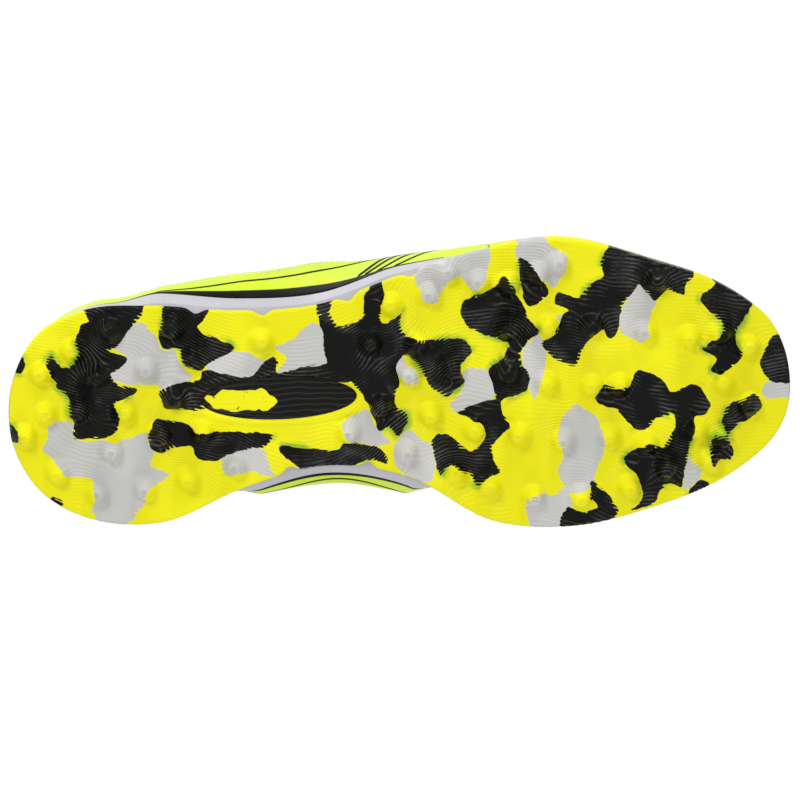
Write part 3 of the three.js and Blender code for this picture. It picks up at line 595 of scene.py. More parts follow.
WINDOW_FLOOR = 7.8
stud_height, swirl = stud_field(sheet_x, sheet_y)
rim_gap = edge_distance(sheet_x, sheet_y)
near_window = window_distance(sheet_x, sheet_y)
grain = sheet_y * 0.97 - sheet_x * mix(0.42, 0.1, ramp(sheet_x, 90, 170)) + swirl
grain = grain + 1.6 * np.sin(sheet_x / 23) + 1.2 * np.sin(sheet_x / 11 + sheet_y / 17)
tip_dimple = DIMPLE_DEPTH * ramp(stud_height, 0.985, 1.0)
sheet_z = STUD_HEIGHT * (1 - stud_height) + tip_dimple
sheet_z = sheet_z + lip(rim_gap, EDGE_RADIUS) * (1 - stud_height)
welt = plateau(near_window, (-0.2, 0.5, 0.9, 2.2))
sheet_z = sheet_z - 0.35 * welt * (1 - stud_height)
sheet_z = mix(WINDOW_FLOOR, sheet_z, ramp(near_window, -1.1, 0.0))

shape, column, row = grid_shape(RUNGS, ACROSS)
places = to_frame(sheet_x, sheet_y, sheet_z)[column, row]
set_places(shape, places)
for name, field in (
    ("black_edge", black_edge), ("grey_edge", grey_edge), ("grain", grain),
    ("stud", stud_height),
):
    set_floats(shape, name, field[column, row])
side_layer = shape.verts.layers.float.new("edge_place")
for vert, c, r in zip(shape.verts, column, row):
    vert[side_layer] = rungs[c] if r == 0 else 1 - rungs[c]
bmesh.ops.remove_doubles(shape, verts=shape.verts, dist=1e-6)
print("outsole sheet points:", len(shape.verts))


def rim_step(shape, edges, offset, height):
    """Extrudes a loop of edges and puts its new points at an offset and height round the sole."""
    grown = bmesh.ops.extrude_edge_only(shape, edges=edges)["geom"]
    verts = [g for g in grown if isinstance(g, bmesh.types.BMVert)]
    around = np.array([v[side_layer] for v in verts])
    point, out, fraction, lateral = rubber_edge(around)
    bare = two_sided(lateral, *BARE_EDGE)(fraction)
    z = height(bare)
    spots = to_frame(point[:, 0] + out[:, 0] * offset, point[:, 1] + out[:, 1] * offset, z)
    for vert, spot in zip(verts, spots):
        vert.co = spot
    return [g for g in grown if isinstance(g, bmesh.types.BMEdge)]


def rim_top(bare):
    return PLATE_TOP + RIM_HEIGHT * (1 - bare)


loop = [e for e in shape.edges if e.is_boundary]
loop = rim_step(shape, loop, -0.1, lambda bare: rim_top(bare) * 0.5 + 3.2)
loop = rim_step(shape, loop, -0.5, lambda bare: rim_top(bare) - 0.45)
loop = rim_step(shape, loop, -0.9, rim_top)
loop = rim_step(shape, loop, -RIM_THICKNESS, rim_top)
loop = rim_step(shape, loop, -RIM_THICKNESS - 0.2, lambda bare: PLATE_TOP + 0 * bare)
bmesh.ops.recalc_face_normals(shape, faces=shape.faces)
print("outsole faces:", len(shape.faces))

# %% [markdown]
# ## Rubber
# The rubber is bright yellow with a satin skin. Fine moulding ribs flow like wood grain, and bleed the
# colours into each other along them. The ribs are a bump, because at under two millimetres apart
# they would need millions of faces. Their grooves are also painted a deeper colour, as painted shade.
# One group makes them, and the waist insert uses it too.

# %% Moulding ribs group
def rib_group():
    """Ribs from a running length: a height for the bump and a mask of their crests."""
    tree = bpy.data.node_groups.new("moulding_ribs", "ShaderNodeTree")
    for name, kind in (("Length", "NodeSocketFloat"), ("Pitch", "NodeSocketFloat")):
        tree.interface.new_socket(name, in_out="INPUT", socket_type=kind)
    for name in ("Height", "Crest"):
        tree.interface.new_socket(name, in_out="OUTPUT", socket_type="NodeSocketFloat")
    source = put(tree, "NodeGroupInput")
    drain = put(tree, "NodeGroupOutput")
    wander = maths(tree, "MULTIPLY", maths(tree, "SUBTRACT", object_noise(tree, 70, 3), 0.5), 2.8)
    run = maths(tree, "ADD", source.outputs["Length"], wander)
    turns = maths(tree, "DIVIDE", run, source.outputs["Pitch"])
    wave = maths(tree, "SINE", maths(tree, "MULTIPLY", turns, 2 * math.pi))
    height = maths(tree, "MULTIPLY_ADD", wave, 0.5, 0.5)
    depth = soft_step(tree, object_noise(tree, 60, 1), 0.3, 0.62)
    tree.links.new(maths(tree, "MULTIPLY", height, depth), drain.inputs["Height"])
    tree.links.new(soft_step(tree, wave, 0.35, 0.95), drain.inputs["Crest"])
    return tree


RIBS = rib_group()


def use_ribs(tree, length, pitch):
    node = put(tree, "ShaderNodeGroup", node_tree=RIBS)
    tree.links.new(length, node.inputs["Length"])
    node.inputs["Pitch"].default_value = pitch
    return node.outputs["Height"], node.outputs["Crest"]


# %% Rubber material
YELLOW = (0.86, 0.83, 0.008)
# The deeper yellow and the deeper grey are painted shade in the rib grooves, and random mottle too.
YELLOW_SHADE_AND_MOTTLE = (0.78, 0.74, 0.006)
# The tip colours are painted shade in the small dimple at each stud's tip.
YELLOW_DIMPLE_SHADE = (0.74, 0.62, 0.02)
GREEN_BLEED = (0.10, 0.36, 0.03)
GREY = (0.62, 0.61, 0.585)
GREY_SHADE_AND_MOTTLE = (0.50, 0.50, 0.48)
GREY_DIMPLE_SHADE = (0.36, 0.36, 0.35)
BLACK = (0.0035, 0.0035, 0.003)
# The lighter black is a painted sheen along the rib crests.
BLACK_PAINTED_SHEEN = (0.045, 0.045, 0.042)


def sole_rubber():
    material, _, links = new_material("sole_rubber")
    tree = material.node_tree
    ribs, crest = use_ribs(tree, attribute(tree, "grain"), 1.45)
    ragged = maths(tree, "MULTIPLY", maths(tree, "SUBTRACT", object_noise(tree, 260, 3), 0.5), 1.6)
    lobes = maths(tree, "MULTIPLY", maths(tree, "SUBTRACT", object_noise(tree, 110, 2), 0.5), 3.4)
    ragged = maths(tree, "ADD", ragged, lobes)
    brushed = maths(tree, "MULTIPLY", crest, soft_step(tree, object_noise(tree, 150, 2), 0.45, 0.7))
    ragged = maths(tree, "MULTIPLY_ADD", brushed, 1.3, ragged)
    black_line = maths(tree, "ADD", attribute(tree, "black_edge"), ragged)
    grey_line = maths(tree, "ADD", attribute(tree, "grey_edge"), ragged)
    black_mask = soft_step(tree, maths(tree, "MULTIPLY", black_line, -1), -0.12, 0.12)
    grey_mask = soft_step(tree, maths(tree, "MULTIPLY", grey_line, -1), -0.15, 0.15)
    # Painted shade: the ribs darken the colour in their grooves, on top of random mottle.
    shade = maths(tree, "MULTIPLY", ribs, 0.45)
    groove_shade_and_mottle = maths(tree, "ADD", shade, soft_step(tree, object_noise(tree, 35, 2), 0.45, 0.75))
    yellow = blend_colours(tree, maths(tree, "MINIMUM", groove_shade_and_mottle, 1.0), YELLOW_SHADE_AND_MOTTLE, YELLOW)
    bleed_reach = soft_step(tree, black_line, 2.6, 0.0)
    bleed = maths(tree, "MULTIPLY", bleed_reach, soft_step(tree, object_noise(tree, 75, 2), 0.52, 0.66))
    yellow = blend_colours(tree, maths(tree, "MULTIPLY", bleed, 0.8), yellow, GREEN_BLEED)
    grey = blend_colours(tree, maths(tree, "MINIMUM", groove_shade_and_mottle, 1.0), GREY_SHADE_AND_MOTTLE, GREY)
    # Painted shade: the dimple at each stud's tip is darkened.
    dimple_shade = soft_step(tree, attribute(tree, "stud"), 0.96, 1.0)
    yellow = blend_colours(tree, maths(tree, "MULTIPLY", dimple_shade, 0.4), yellow, YELLOW_DIMPLE_SHADE)
    grey = blend_colours(tree, maths(tree, "MULTIPLY", dimple_shade, 0.45), grey, GREY_DIMPLE_SHADE)
    # Painted sheen: streaks along the rib crests on the black are lightened, and they also get more
    # specular.
    crest_sheen = maths(tree, "MULTIPLY", crest, soft_step(tree, object_noise(tree, 120, 3), 0.42, 0.75))
    black = blend_colours(tree, crest_sheen, BLACK, BLACK_PAINTED_SHEEN)
    colour = blend_colours(tree, black_mask, blend_colours(tree, grey_mask, yellow, grey), black)
    links.new(colour, shader_of(material).inputs["Base Color"])
    rough = maths(tree, "MULTIPLY_ADD", black_mask, -0.24, 0.52)
    links.new(rough, shader_of(material).inputs["Roughness"])
    gloss = maths(tree, "MULTIPLY_ADD", crest_sheen, 0.5, 0.13)
    links.new(gloss, shader_of(material).inputs["Specular IOR Level"])
    sharp = maths(tree, "MULTIPLY_ADD", black_mask, 0.72, 0.28)
    sharp = maths(tree, "MULTIPLY", sharp, maths(tree, "MULTIPLY_ADD", attribute(tree, "stud"), -0.6, 1.0))
    pores = maths(tree, "MULTIPLY", object_noise(tree, 900, 2), 0.12)
    bump(material, maths(tree, "MULTIPLY_ADD", ribs, sharp, pores), 0.00042)
    return material


outsole = finish_piece("outsole_rubber", shape, sole_rubber())
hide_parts("outsole")
print("outsole:", len(outsole.data.polygons), "faces")

# %% [markdown]
# ## At the ball
# A shoe bends where the toes begin, and the rubber, the midsole and the vamp cross that line. Here each
# of them only has its transform baked into its mesh; nothing makes it bend.


def bend_at_ball(piece):
    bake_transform(piece)


bend_at_ball(outsole)

# %% [markdown]
# ## The upper's surface
# The upper is a sheet pulled over a last. One function gives any point of it from three numbers: the
# place round the sole, the height from the sole to the top line, and the depth out of the skin.
# Every layer of the upper uses it, so layers lie on each other as they do when they are lasted.

# %% Upper sizes
CLEARANCE = 0.3
SKIN = 1.4
OVERLAY = 0.9
MIDSOLE_LIP = 1.2
RIM_INSET = -(RIM_THICKNESS + CLEARANCE)
HEEL_HEIGHT, ANKLE_HEIGHT = 86.0, 66.0
THROAT_TOP_HEIGHT, THROAT_FRONT_HEIGHT, TOE_BOX_HEIGHT = 89.0, 65.0, 40.0
THROAT_TOP, THROAT_FRONT, VAMP_SEAM, RIDGE_END = 0.37, 0.59, 0.618, 0.86
THROAT_TOP_HALF, THROAT_FRONT_HALF = 21.0, 11.0
UPPER_CENTRE_Y = -2.0
BULGE = ((0.17, 0.31, 0.385, 0.5), (0.16, 0.4, 0.46, 0.7))
BULGE_SIZE = (8.0, 14.3)
STIFFENER, COLLAR_PAD, LINING = 1.7, 4.6, 1.0


def profile(rows):
    """A smooth curve of height through rows of fraction and height."""
    x, y = np.array(rows, float).T
    slope = np.gradient(y, x)
    slope[1:-1] = (y[2:] - y[:-2]) / (x[2:] - x[:-2])

    def height(fraction):
        low = np.clip(np.searchsorted(x, fraction, side="right") - 1, 0, len(x) - 2)
        width = x[low + 1] - x[low]
        w = np.clip((fraction - x[low]) / width, 0, 1)
        ease = w * w * (3 - 2 * w)
        start = (w ** 3 - 2 * w * w + w) * slope[low] * width
        end = (w ** 3 - w * w) * slope[low + 1] * width
        return mix(y[low], y[low + 1], ease) + start + end

    return height


top_line = profile([
    (0, HEEL_HEIGHT), (0.08, mix(ANKLE_HEIGHT, HEEL_HEIGHT, 0.62)), (0.19, ANKLE_HEIGHT),
    (0.29, mix(ANKLE_HEIGHT, THROAT_TOP_HEIGHT, 0.5)), (THROAT_TOP, THROAT_TOP_HEIGHT),
    (THROAT_FRONT, THROAT_FRONT_HEIGHT), (0.75, mix(TOE_BOX_HEIGHT, THROAT_FRONT_HEIGHT, 0.36)),
    (RIDGE_END, TOE_BOX_HEIGHT),
])


def midsole_top(fraction):
    return mix(21.0, 15.5, ramp(fraction, 0.2, 0.62))


def flare(fraction, lateral):
    return two_sided(lateral, *FLARE)(fraction)


def midsole_edge(fraction, lateral):
    """How far the midsole's top edge stands out from the sole's edge."""
    return mix(RIM_INSET, np.where(lateral, 1.5, 5.7), flare(fraction, lateral))


def throat_half(fraction):
    wide = mix(THROAT_TOP_HALF, THROAT_FRONT_HALF, ramp(fraction, THROAT_TOP, THROAT_FRONT))
    return wide * (1 - np.clip((fraction - THROAT_FRONT) / (VAMP_SEAM - THROAT_FRONT), 0, 1))


# %% The upper's surface function
def upper_drawn(place, rise, depth):
    """Drawn x, y, z of the upper at places, rises and depths of one shape."""
    place, rise, depth = np.broadcast_arrays(*(np.asarray(a, float) for a in (place, rise, depth)))
    point, out, fraction, lateral = edge(place)
    foot_out = midsole_edge(fraction, lateral) - MIDSOLE_LIP
    foot = point + out * (foot_out + depth)[..., None]
    foot_z = midsole_top(fraction) + CLEARANCE
    inset = mix(12.0, 8.5, ramp(fraction, 0.06, 0.24))
    collar = point + out * (foot_out - inset)[..., None]
    capped = np.minimum(fraction, RIDGE_END)
    throat_y = UPPER_CENTRE_Y + np.where(lateral, -1, 1) * throat_half(fraction)
    target = np.stack([capped * SOLE_LENGTH, throat_y], axis=-1)
    top = mix(collar, target, ramp(fraction, 0.24, THROAT_TOP)[..., None])
    crest = ramp(fraction, 0.26, THROAT_FRONT)
    lean = np.concatenate([out * (1 - crest)[..., None], crest[..., None]], axis=-1)
    lean /= np.linalg.norm(lean, axis=-1, keepdims=True)
    top = top + lean[..., :2] * depth[..., None]
    top_z = top_line(capped) + lean[..., 2] * depth
    rounded_part = ramp(fraction, 0.26, 0.5)
    angle = rise * math.pi / 2
    climb = mix(rise, np.sin(angle), rounded_part)
    inward = mix(np.abs(rise) ** 1.6, np.abs(1 - np.cos(angle)) ** 1.35, rounded_part)
    full = [mix(1.0, size, plateau(fraction, limits)) for size, limits in zip(BULGE_SIZE, BULGE)]
    swell = np.where(lateral, full[0], full[1])
    push = swell * np.sin(math.pi * np.clip(rise, 0, 1) ** 0.8)
    flat = mix(foot, top, inward[..., None]) + out * push[..., None]
    return flat[..., 0], flat[..., 1], mix(foot_z, top_z, climb), fraction


def upper_point(place, rise, depth):
    return to_frame(*upper_drawn(place, rise, depth)[:3])


def place_at(fraction, lateral=True):
    """The place round the sole at a fraction of its length."""
    fine = np.linspace(0, 0.5, 4000)
    found = np.interp(fraction, edge(fine)[2], fine)
    return found if lateral else 1 - found


def lining_depth(fraction, rise):
    """Depth of the lining's outer face: it leaves room for stiffeners and the collar's foam."""
    stiff = (STIFFENER + CLEARANCE) * (1 - plateau(fraction, (0.27, 0.31, 0.82, 0.88)))
    pad = (COLLAR_PAD + CLEARANCE) * (1 - ramp(fraction, 0.3, 0.35)) * ramp(rise, 3 / 7, 4 / 7)
    return -SKIN - CLEARANCE - np.maximum(stiff, pad)


print("top of the tongue side:", upper_point(place_at(THROAT_TOP), 1, 0).round(4))

# %% [markdown]
# ## Sheets of the upper
# A grid is laid over a stretch of the surface. It keeps how far along and how high each point is, in
# millimetres, so that cloth and grain follow the shoe. The grid gets its thickness from a Solidify
# modifier, and its edges are softened by a Bevel.

# %% Measures of a sheet
EDGE_LENGTH = 720.0
GIRTH = 80.0



# %% Sheet maker
EYELETS_PER_SIDE = 6
EYELET_RISE = 0.86
EYELET_BORE = 2.0


def eyelet_place(lateral, number):
    fraction = mix(0.395, 0.57, number / (EYELETS_PER_SIDE - 1))
    return float(place_at(fraction, lateral))


def eyelet_axis(lateral, number):
    """An eyelet's centre on the eyestay and its outward direction, in the frame."""
    place = eyelet_place(lateral, number)
    depth = CLEARANCE + OVERLAY
    centre = upper_point(place, EYELET_RISE, depth)
    onward = upper_point(place + 0.004, EYELET_RISE, depth) - centre
    upward = upper_point(place, EYELET_RISE + 0.04, depth) - centre
    out = Vector(np.cross(onward, upward)).normalized()
    return Vector(centre), out if out.z > 0 else -out


EYELET_AXES = [eyelet_axis(lateral, n) for lateral in (True, False) for n in range(EYELETS_PER_SIDE)]


def punch_eyelets(shape, radius):
    """Opens a sheet where an eyelet passes through it."""
    for centre, out in EYELET_AXES:
        near = []
        for face in shape.faces:
            gap = face.calc_center_median() - centre
            if gap.length < 0.008 and (gap - out * gap.dot(out)).length < radius:
                near.append(face)
        bmesh.ops.delete(shape, geom=near, context="FACES")


def upper_sheet(name, start, end, low, high, depth, thickness, material, slot, columns, rows, punch=False,
                soften=0.0, shape_ends=None):
    """A sheet over part of the upper; depth is its outer face's, as a number or a function."""
    shape, column, row = grid_shape(columns, rows)
    place = mix(start, end, column / columns)
    rise = mix(low, high, row / rows)
    if shape_ends is not None:
        place, rise = shape_ends(place, rise)
    fraction = edge(place)[2]
    outer = depth(fraction, rise) if callable(depth) else depth
    spots = upper_point(place, rise, outer)
    set_places(shape, spots)
    for layer, values in (("run", place * EDGE_LENGTH), ("height", rise * GIRTH)):
        set_floats(shape, layer, values)
    bmesh.ops.remove_doubles(shape, verts=shape.verts, dist=2e-5)
    bmesh.ops.recalc_face_normals(shape, faces=shape.faces)
    middle = Vector((0, 0.0045, 0.03))
    leaning = sum(f.normal.dot(f.calc_center_median() - middle) * f.calc_area() for f in shape.faces)
    if leaning < 0:
        bmesh.ops.reverse_faces(shape, faces=shape.faces)
    if punch:
        punch_eyelets(shape, (EYELET_BORE + 1.0) * MM)
    piece = finish_piece(name, shape, material)
    solid = piece.modifiers.new("thickness", "SOLIDIFY")
    solid.thickness = thickness * MM
    solid.offset = -1
    solid.use_even_offset = True
    if soften:
        edge_round = piece.modifiers.new("edge", "BEVEL")
        edge_round.width = soften * MM
        edge_round.segments = 2
        edge_round.limit_method = "ANGLE"
        edge_round.angle_limit = math.radians(50)
    print(name, "faces:", len(piece.data.polygons))
    return piece


# %% [markdown]
# ## Finishes of the upper
# The skin is a coated synthetic: a bright film with a fine leather grain, slightly glossy. Its black
# lines are ribbons of their own. Linings are a knit. Straps and the pull tab are a woven tape. The
# grain and the weave are each one group, used at their own scales.

# %% Grain and weave groups
def grain_group():
    """Leather-like grain: cells with soft valleys, and a mask of where it is rubbed smooth."""
    tree = bpy.data.node_groups.new("film_grain", "ShaderNodeTree")
    tree.interface.new_socket("Scale", in_out="INPUT", socket_type="NodeSocketFloat")
    for name in ("Height", "Rubbed"):
        tree.interface.new_socket(name, in_out="OUTPUT", socket_type="NodeSocketFloat")
    source = put(tree, "NodeGroupInput")
    drain = put(tree, "NodeGroupOutput")
    place = put(tree, "ShaderNodeTexCoord")
    cells = put(tree, "ShaderNodeTexVoronoi", feature="SMOOTH_F1")
    tree.links.new(place.outputs["Object"], cells.inputs["Vector"])
    tree.links.new(source.outputs["Scale"], cells.inputs["Scale"])
    fine = put(tree, "ShaderNodeTexNoise", s_Detail=3.0)
    tree.links.new(place.outputs["Object"], fine.inputs["Vector"])
    tree.links.new(source.outputs["Scale"], fine.inputs["Scale"])
    height = maths(tree, "MULTIPLY_ADD", fine.outputs[0], 0.5, cells.outputs["Distance"])
    tree.links.new(height, drain.inputs["Height"])
    tree.links.new(soft_step(tree, object_noise(tree, 28, 3), 0.42, 0.7), drain.inputs["Rubbed"])
    return tree


def weave_group():
    """Plain weave from two lengths: thread height, and a mask of the gaps between threads."""
    tree = bpy.data.node_groups.new("cloth_weave", "ShaderNodeTree")
    for name in ("Along", "Across", "Pitch"):
        tree.interface.new_socket(name, in_out="INPUT", socket_type="NodeSocketFloat")
    for name in ("Height", "Gap"):
        tree.interface.new_socket(name, in_out="OUTPUT", socket_type="NodeSocketFloat")
    source = put(tree, "NodeGroupInput")
    drain = put(tree, "NodeGroupOutput")
    waves = []
    for name in ("Along", "Across"):
        turns = maths(tree, "DIVIDE", source.outputs[name], source.outputs["Pitch"])
        waves.append(maths(tree, "SINE", maths(tree, "MULTIPLY", turns, math.pi)))
    product = maths(tree, "MULTIPLY", waves[0], waves[1])
    ridge = maths(tree, "MAXIMUM", maths(tree, "ABSOLUTE", waves[0]), maths(tree, "ABSOLUTE", waves[1]))
    height = maths(tree, "MULTIPLY_ADD", product, 0.3, maths(tree, "MULTIPLY", ridge, 0.7))
    tree.links.new(height, drain.inputs["Height"])
    tree.links.new(soft_step(tree, ridge, 0.75, 0.35), drain.inputs["Gap"])
    return tree


GRAIN = grain_group()
WEAVE = weave_group()


def use_grain(tree, scale):
    node = put(tree, "ShaderNodeGroup", node_tree=GRAIN, s_Scale=scale)
    return node.outputs["Height"], node.outputs["Rubbed"]


def use_weave(tree, along, across, pitch):
    node = put(tree, "ShaderNodeGroup", node_tree=WEAVE, s_Pitch=pitch)
    tree.links.new(along, node.inputs["Along"])
    tree.links.new(across, node.inputs["Across"])
    return node.outputs["Height"], node.outputs["Gap"]


# %% Materials of the upper
FILM = (0.64, 0.81, 0.008)
FILM_DEEP = (0.52, 0.69, 0.007)


def film_material(name, rough, grain_depth, low=FILM_DEEP, high=FILM):
    """The coated skin: bright film over a fine grain, glossier where it is rubbed."""
    material, _, links = new_material(name)
    tree = material.node_tree
    grain, rubbed = use_grain(tree, 1100)
    colour = blend_colours(tree, maths(tree, "MULTIPLY_ADD", rubbed, 0.6, 0.3), low, high)
    links.new(colour, shader_of(material).inputs["Base Color"])
    links.new(maths(tree, "MULTIPLY_ADD", rubbed, -0.1, rough), shader_of(material).inputs["Roughness"])
    shader_of(material).inputs["Specular IOR Level"].default_value = 0.2
    bump(material, grain, grain_depth * MM)
    return material


def cloth_material(name, thread, gap, pitch, depth, rough=0.85, sheen=0.15):
    """Woven or knitted cloth that follows the sheet's own run and height, with painted shade in the gaps
    between threads.
    """
    material, _, links = new_material(name)
    tree = material.node_tree
    height, thread_gap_shade = use_weave(tree, attribute(tree, "run"), attribute(tree, "height"), pitch)
    mottle = soft_step(tree, object_noise(tree, 240, 2), 0.3, 0.7)
    # Painted shade: the gaps between threads take the darker gap colour, mixed with random mottle.
    shade = maths(tree, "MULTIPLY_ADD", mottle, 0.3, maths(tree, "MULTIPLY", thread_gap_shade, 0.7))
    links.new(blend_colours(tree, shade, thread, gap), shader_of(material).inputs["Base Color"])
    shader_of(material).inputs["Roughness"].default_value = rough
    shader_of(material).inputs["Sheen Weight"].default_value = sheen
    bump(material, height, depth * MM)
    return material


def plain_grained(name, low, high, rough, scale, depth, metallic=0.0, gloss=0.5):
    """A moulded or pressed finish with grain on Object coordinates."""
    material, _, links = new_material(name)
    tree = material.node_tree
    grain, rubbed = use_grain(tree, scale)
    links.new(blend_colours(tree, rubbed, low, high), shader_of(material).inputs["Base Color"])
    links.new(maths(tree, "MULTIPLY_ADD", rubbed, -0.12, rough), shader_of(material).inputs["Roughness"])
    shader_of(material).inputs["Metallic"].default_value = metallic
    shader_of(material).inputs["Specular IOR Level"].default_value = gloss
    bump(material, grain, depth * MM)
    return material


film = film_material("upper_film", 0.5, 0.05)
film_overlay = film_material("overlay_film", 0.38, 0.02, (0.56, 0.74, 0.016), (0.66, 0.84, 0.02))
ink_film = plain_grained(
    "black_film", (0.004, 0.004, 0.003), (0.009, 0.009, 0.008), 0.6, 900, 0.02, gloss=0.1
)
foam_white = plain_grained(
    "midsole_foam", (0.45, 0.445, 0.48), (0.51, 0.505, 0.54), 0.62, 700, 0.08, gloss=0.3
)
# Each cloth's second colour is painted shade for the gaps between its threads.
knit = cloth_material("lining_knit", (0.022, 0.022, 0.025), (0.008, 0.008, 0.01), 1.1, 0.25)
tape = cloth_material("webbing_tape", (0.018, 0.018, 0.02), (0.005, 0.005, 0.006), 1.4, 0.35)
thread_white = plain_grained("thread_white", (0.70, 0.74, 0.55), (0.82, 0.84, 0.7), 0.7, 3000, 0.03)
thread_dark = plain_grained("thread_dark", (0.015, 0.015, 0.015), (0.03, 0.03, 0.03), 0.7, 3000, 0.03)
gunmetal = plain_grained("eyelet_metal", (0.03, 0.03, 0.032), (0.07, 0.07, 0.075), 0.36, 1500, 0.01, 0.9)
print("materials:", len(bpy.data.materials))

# %% [markdown]
# ## Midsole
# The midsole is a band of white foam that stands inside the rubber's rim and flares out over it at
# the waist. It is a ring of rows from its foot to its lip, closed above and below.

# %% Build the midsole
MIDSOLE_ROWS = [
    (0.0, 0.0), (0.25, 0.12), (0.7, 0.45), (0.88, 0.68),
    (0.97, 0.84), (1.0, 0.91), (0.98, 0.96), (0.9, 0.99),
]
MIDSOLE_STEPS = 440


def midsole_ring(step, rise):
    """Points round the midsole: step mixes from the foot's offset to the lip's, rise from low to top."""
    around = np.linspace(0, 1, MIDSOLE_STEPS, endpoint=False)
    point, out, fraction, lateral = edge(around)
    foot = mix(RIM_INSET, 0.5, flare(fraction, lateral))
    offset = mix(foot, midsole_edge(fraction, lateral), step)
    z = mix(PLATE_TOP + CLEARANCE, midsole_top(fraction), rise)
    return to_frame(point[:, 0] + out[:, 0] * offset, point[:, 1] + out[:, 1] * offset, z)


shape = bmesh.new()
bmesh.ops.create_circle(shape, segments=MIDSOLE_STEPS, radius=0.1)
shape.verts.ensure_lookup_table()
turn = np.array([math.atan2(v.co.y, v.co.x) for v in shape.verts])
order = np.mod(np.rint(turn / (2 * math.pi) * MIDSOLE_STEPS).astype(int), MIDSOLE_STEPS)
number = shape.verts.layers.int.new("number")
for vert, k in zip(shape.verts, order):
    vert[number] = int(k)
loop = list(shape.edges)
for first, (step, rise) in enumerate(MIDSOLE_ROWS):
    spots = midsole_ring(step, rise)
    if first == 0:
        verts = list(shape.verts)
    else:
        grown = bmesh.ops.extrude_edge_only(shape, edges=loop)["geom"]
        verts = [g for g in grown if isinstance(g, bmesh.types.BMVert)]
        loop = [g for g in grown if isinstance(g, bmesh.types.BMEdge)]
    for vert in verts:
        vert.co = spots[vert[number]]
bmesh.ops.holes_fill(shape, edges=[e for e in shape.edges if e.is_boundary])
bmesh.ops.recalc_face_normals(shape, faces=shape.faces)
caps = [f for f in shape.faces if len(f.verts) > 4]
bmesh.ops.triangulate(shape, faces=caps)
midsole = finish_piece("midsole_foam_band", shape, foam_white)
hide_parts("midsole")
bend_at_ball(midsole)
print("midsole faces:", len(midsole.data.polygons))

# %% [markdown]
# ## Skin, overlays and linings
# The two quarters meet the vamp at a seam in front of the throat. Overlays are the eyestays, the toe
# guard, the heel backstay and the black bands that run along the midsole. The linings follow inside.

# %% Quarters and vamp
SEAM_PLACE = float(place_at(VAMP_SEAM))
SEAM_GAP = 0.0002
COLUMN_STEP = 0.0016


def columns_for(start, end):
    return max(8, int(round(abs(end - start) / COLUMN_STEP)))


def side_span(lateral, start, end):
    return (start, end) if lateral else (1 - end, 1 - start)


for lateral, side in ((True, "lateral"), (False, "medial")):
    start, end = side_span(lateral, 0.0, SEAM_PLACE - SEAM_GAP)
    quarter = upper_sheet(side + "_quarter_skin", start, end, 0, 1, 0, SKIN, film, "upper_skin",
                          columns_for(start, end), 64, punch=True)
    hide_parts(side + "_quarter")
    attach(quarter, "shoe")

vamp_span = (SEAM_PLACE + SEAM_GAP, 1 - SEAM_PLACE - SEAM_GAP)
vamp = upper_sheet("vamp_skin", *vamp_span, 0, 1, 0, SKIN, film, "upper_skin", columns_for(*vamp_span), 60)
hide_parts("vamp")
bend_at_ball(vamp)

# %% Overlays
def station(fraction):
    return float(place_at(fraction))


OVER = CLEARANCE + OVERLAY
guard_span = (station(0.8), 1 - station(0.8))


def swooped_guard(place, rise):
    """Lets the toe guard's top edge fall away towards its ends."""
    fall = np.clip(np.abs(place - 0.5) / (0.5 - guard_span[0]), 0, 1) ** 2
    return place, 0.03 + (rise - 0.03) * (1 - 0.55 * fall)


guard = upper_sheet("toe_guard_film", *guard_span, 0.03, 3 / 7, OVER, OVERLAY, film_overlay, "overlay",
                    columns_for(*guard_span), 18, soften=0.3, shape_ends=swooped_guard)
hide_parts("toe_guard")
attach(guard, "toe")

for lateral, side in ((True, "lateral"), (False, "medial")):
    start, end = side_span(lateral, station(THROAT_TOP), station(THROAT_FRONT))
    stay = upper_sheet(side + "_eyestay_film", start, end, 5 / 7, 1, OVER, OVERLAY, film_overlay, "overlay",
                       columns_for(start, end) * 2, 30, punch=True, soften=0.25)
    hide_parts(side + "_eyestay")
    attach(stay, "shoe")

backstay_reach = station(0.035)


def rounded_backstay(place, rise):
    """Narrows the backstay towards its top."""
    return place * (1 - 0.35 * ramp(rise, 0.2, 0.95)), rise


backstay = upper_sheet("heel_backstay_film", -backstay_reach, backstay_reach, 0.03, 0.93, OVER, OVERLAY,
                       film_overlay, "overlay", 60, 40, soften=0.3, shape_ends=rounded_backstay)
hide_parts("heel_backstay")
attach(backstay, "shoe")

tab_reach = station(0.004)


def rounded_tab(place, rise):
    """Rounds the pull tab's corners."""
    return place * (1 - 0.3 * np.abs((rise - 0.86) / 0.26) ** 6), rise


tab = upper_sheet("heel_pull_tab_tape", -tab_reach, tab_reach, 0.6, 1.12, 2 * OVER, OVERLAY, tape, "webbing",
                  22, 40, soften=0.35, shape_ends=rounded_tab)
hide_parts("heel_pull_tab")
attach(tab, "shoe")


# %% Foxing bands: thick in the middle, thin at both ends
def tapered(place, rise):
    fraction = edge(place)[2]
    share = (rise - 0.005) / 0.085
    swell = plateau(fraction, (0.1, 0.24, 0.36, 0.56))
    lateral = np.mod(place, 1.0) < 0.5
    return place, 0.005 + share * mix(0.012, np.where(lateral, 0.052, 0.022), swell)


for lateral, side in ((True, "lateral"), (False, "medial")):
    start, end = side_span(lateral, station(0.1), station(0.56))
    band = upper_sheet(side + "_foxing_stripe", start, end, 0.005, 0.09, CLEARANCE + 0.6, 0.6, ink_film,
                       "overlay", columns_for(start, end), 6, shape_ends=tapered)
    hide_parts(side + "_foxing_band")
    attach(band, "shoe")


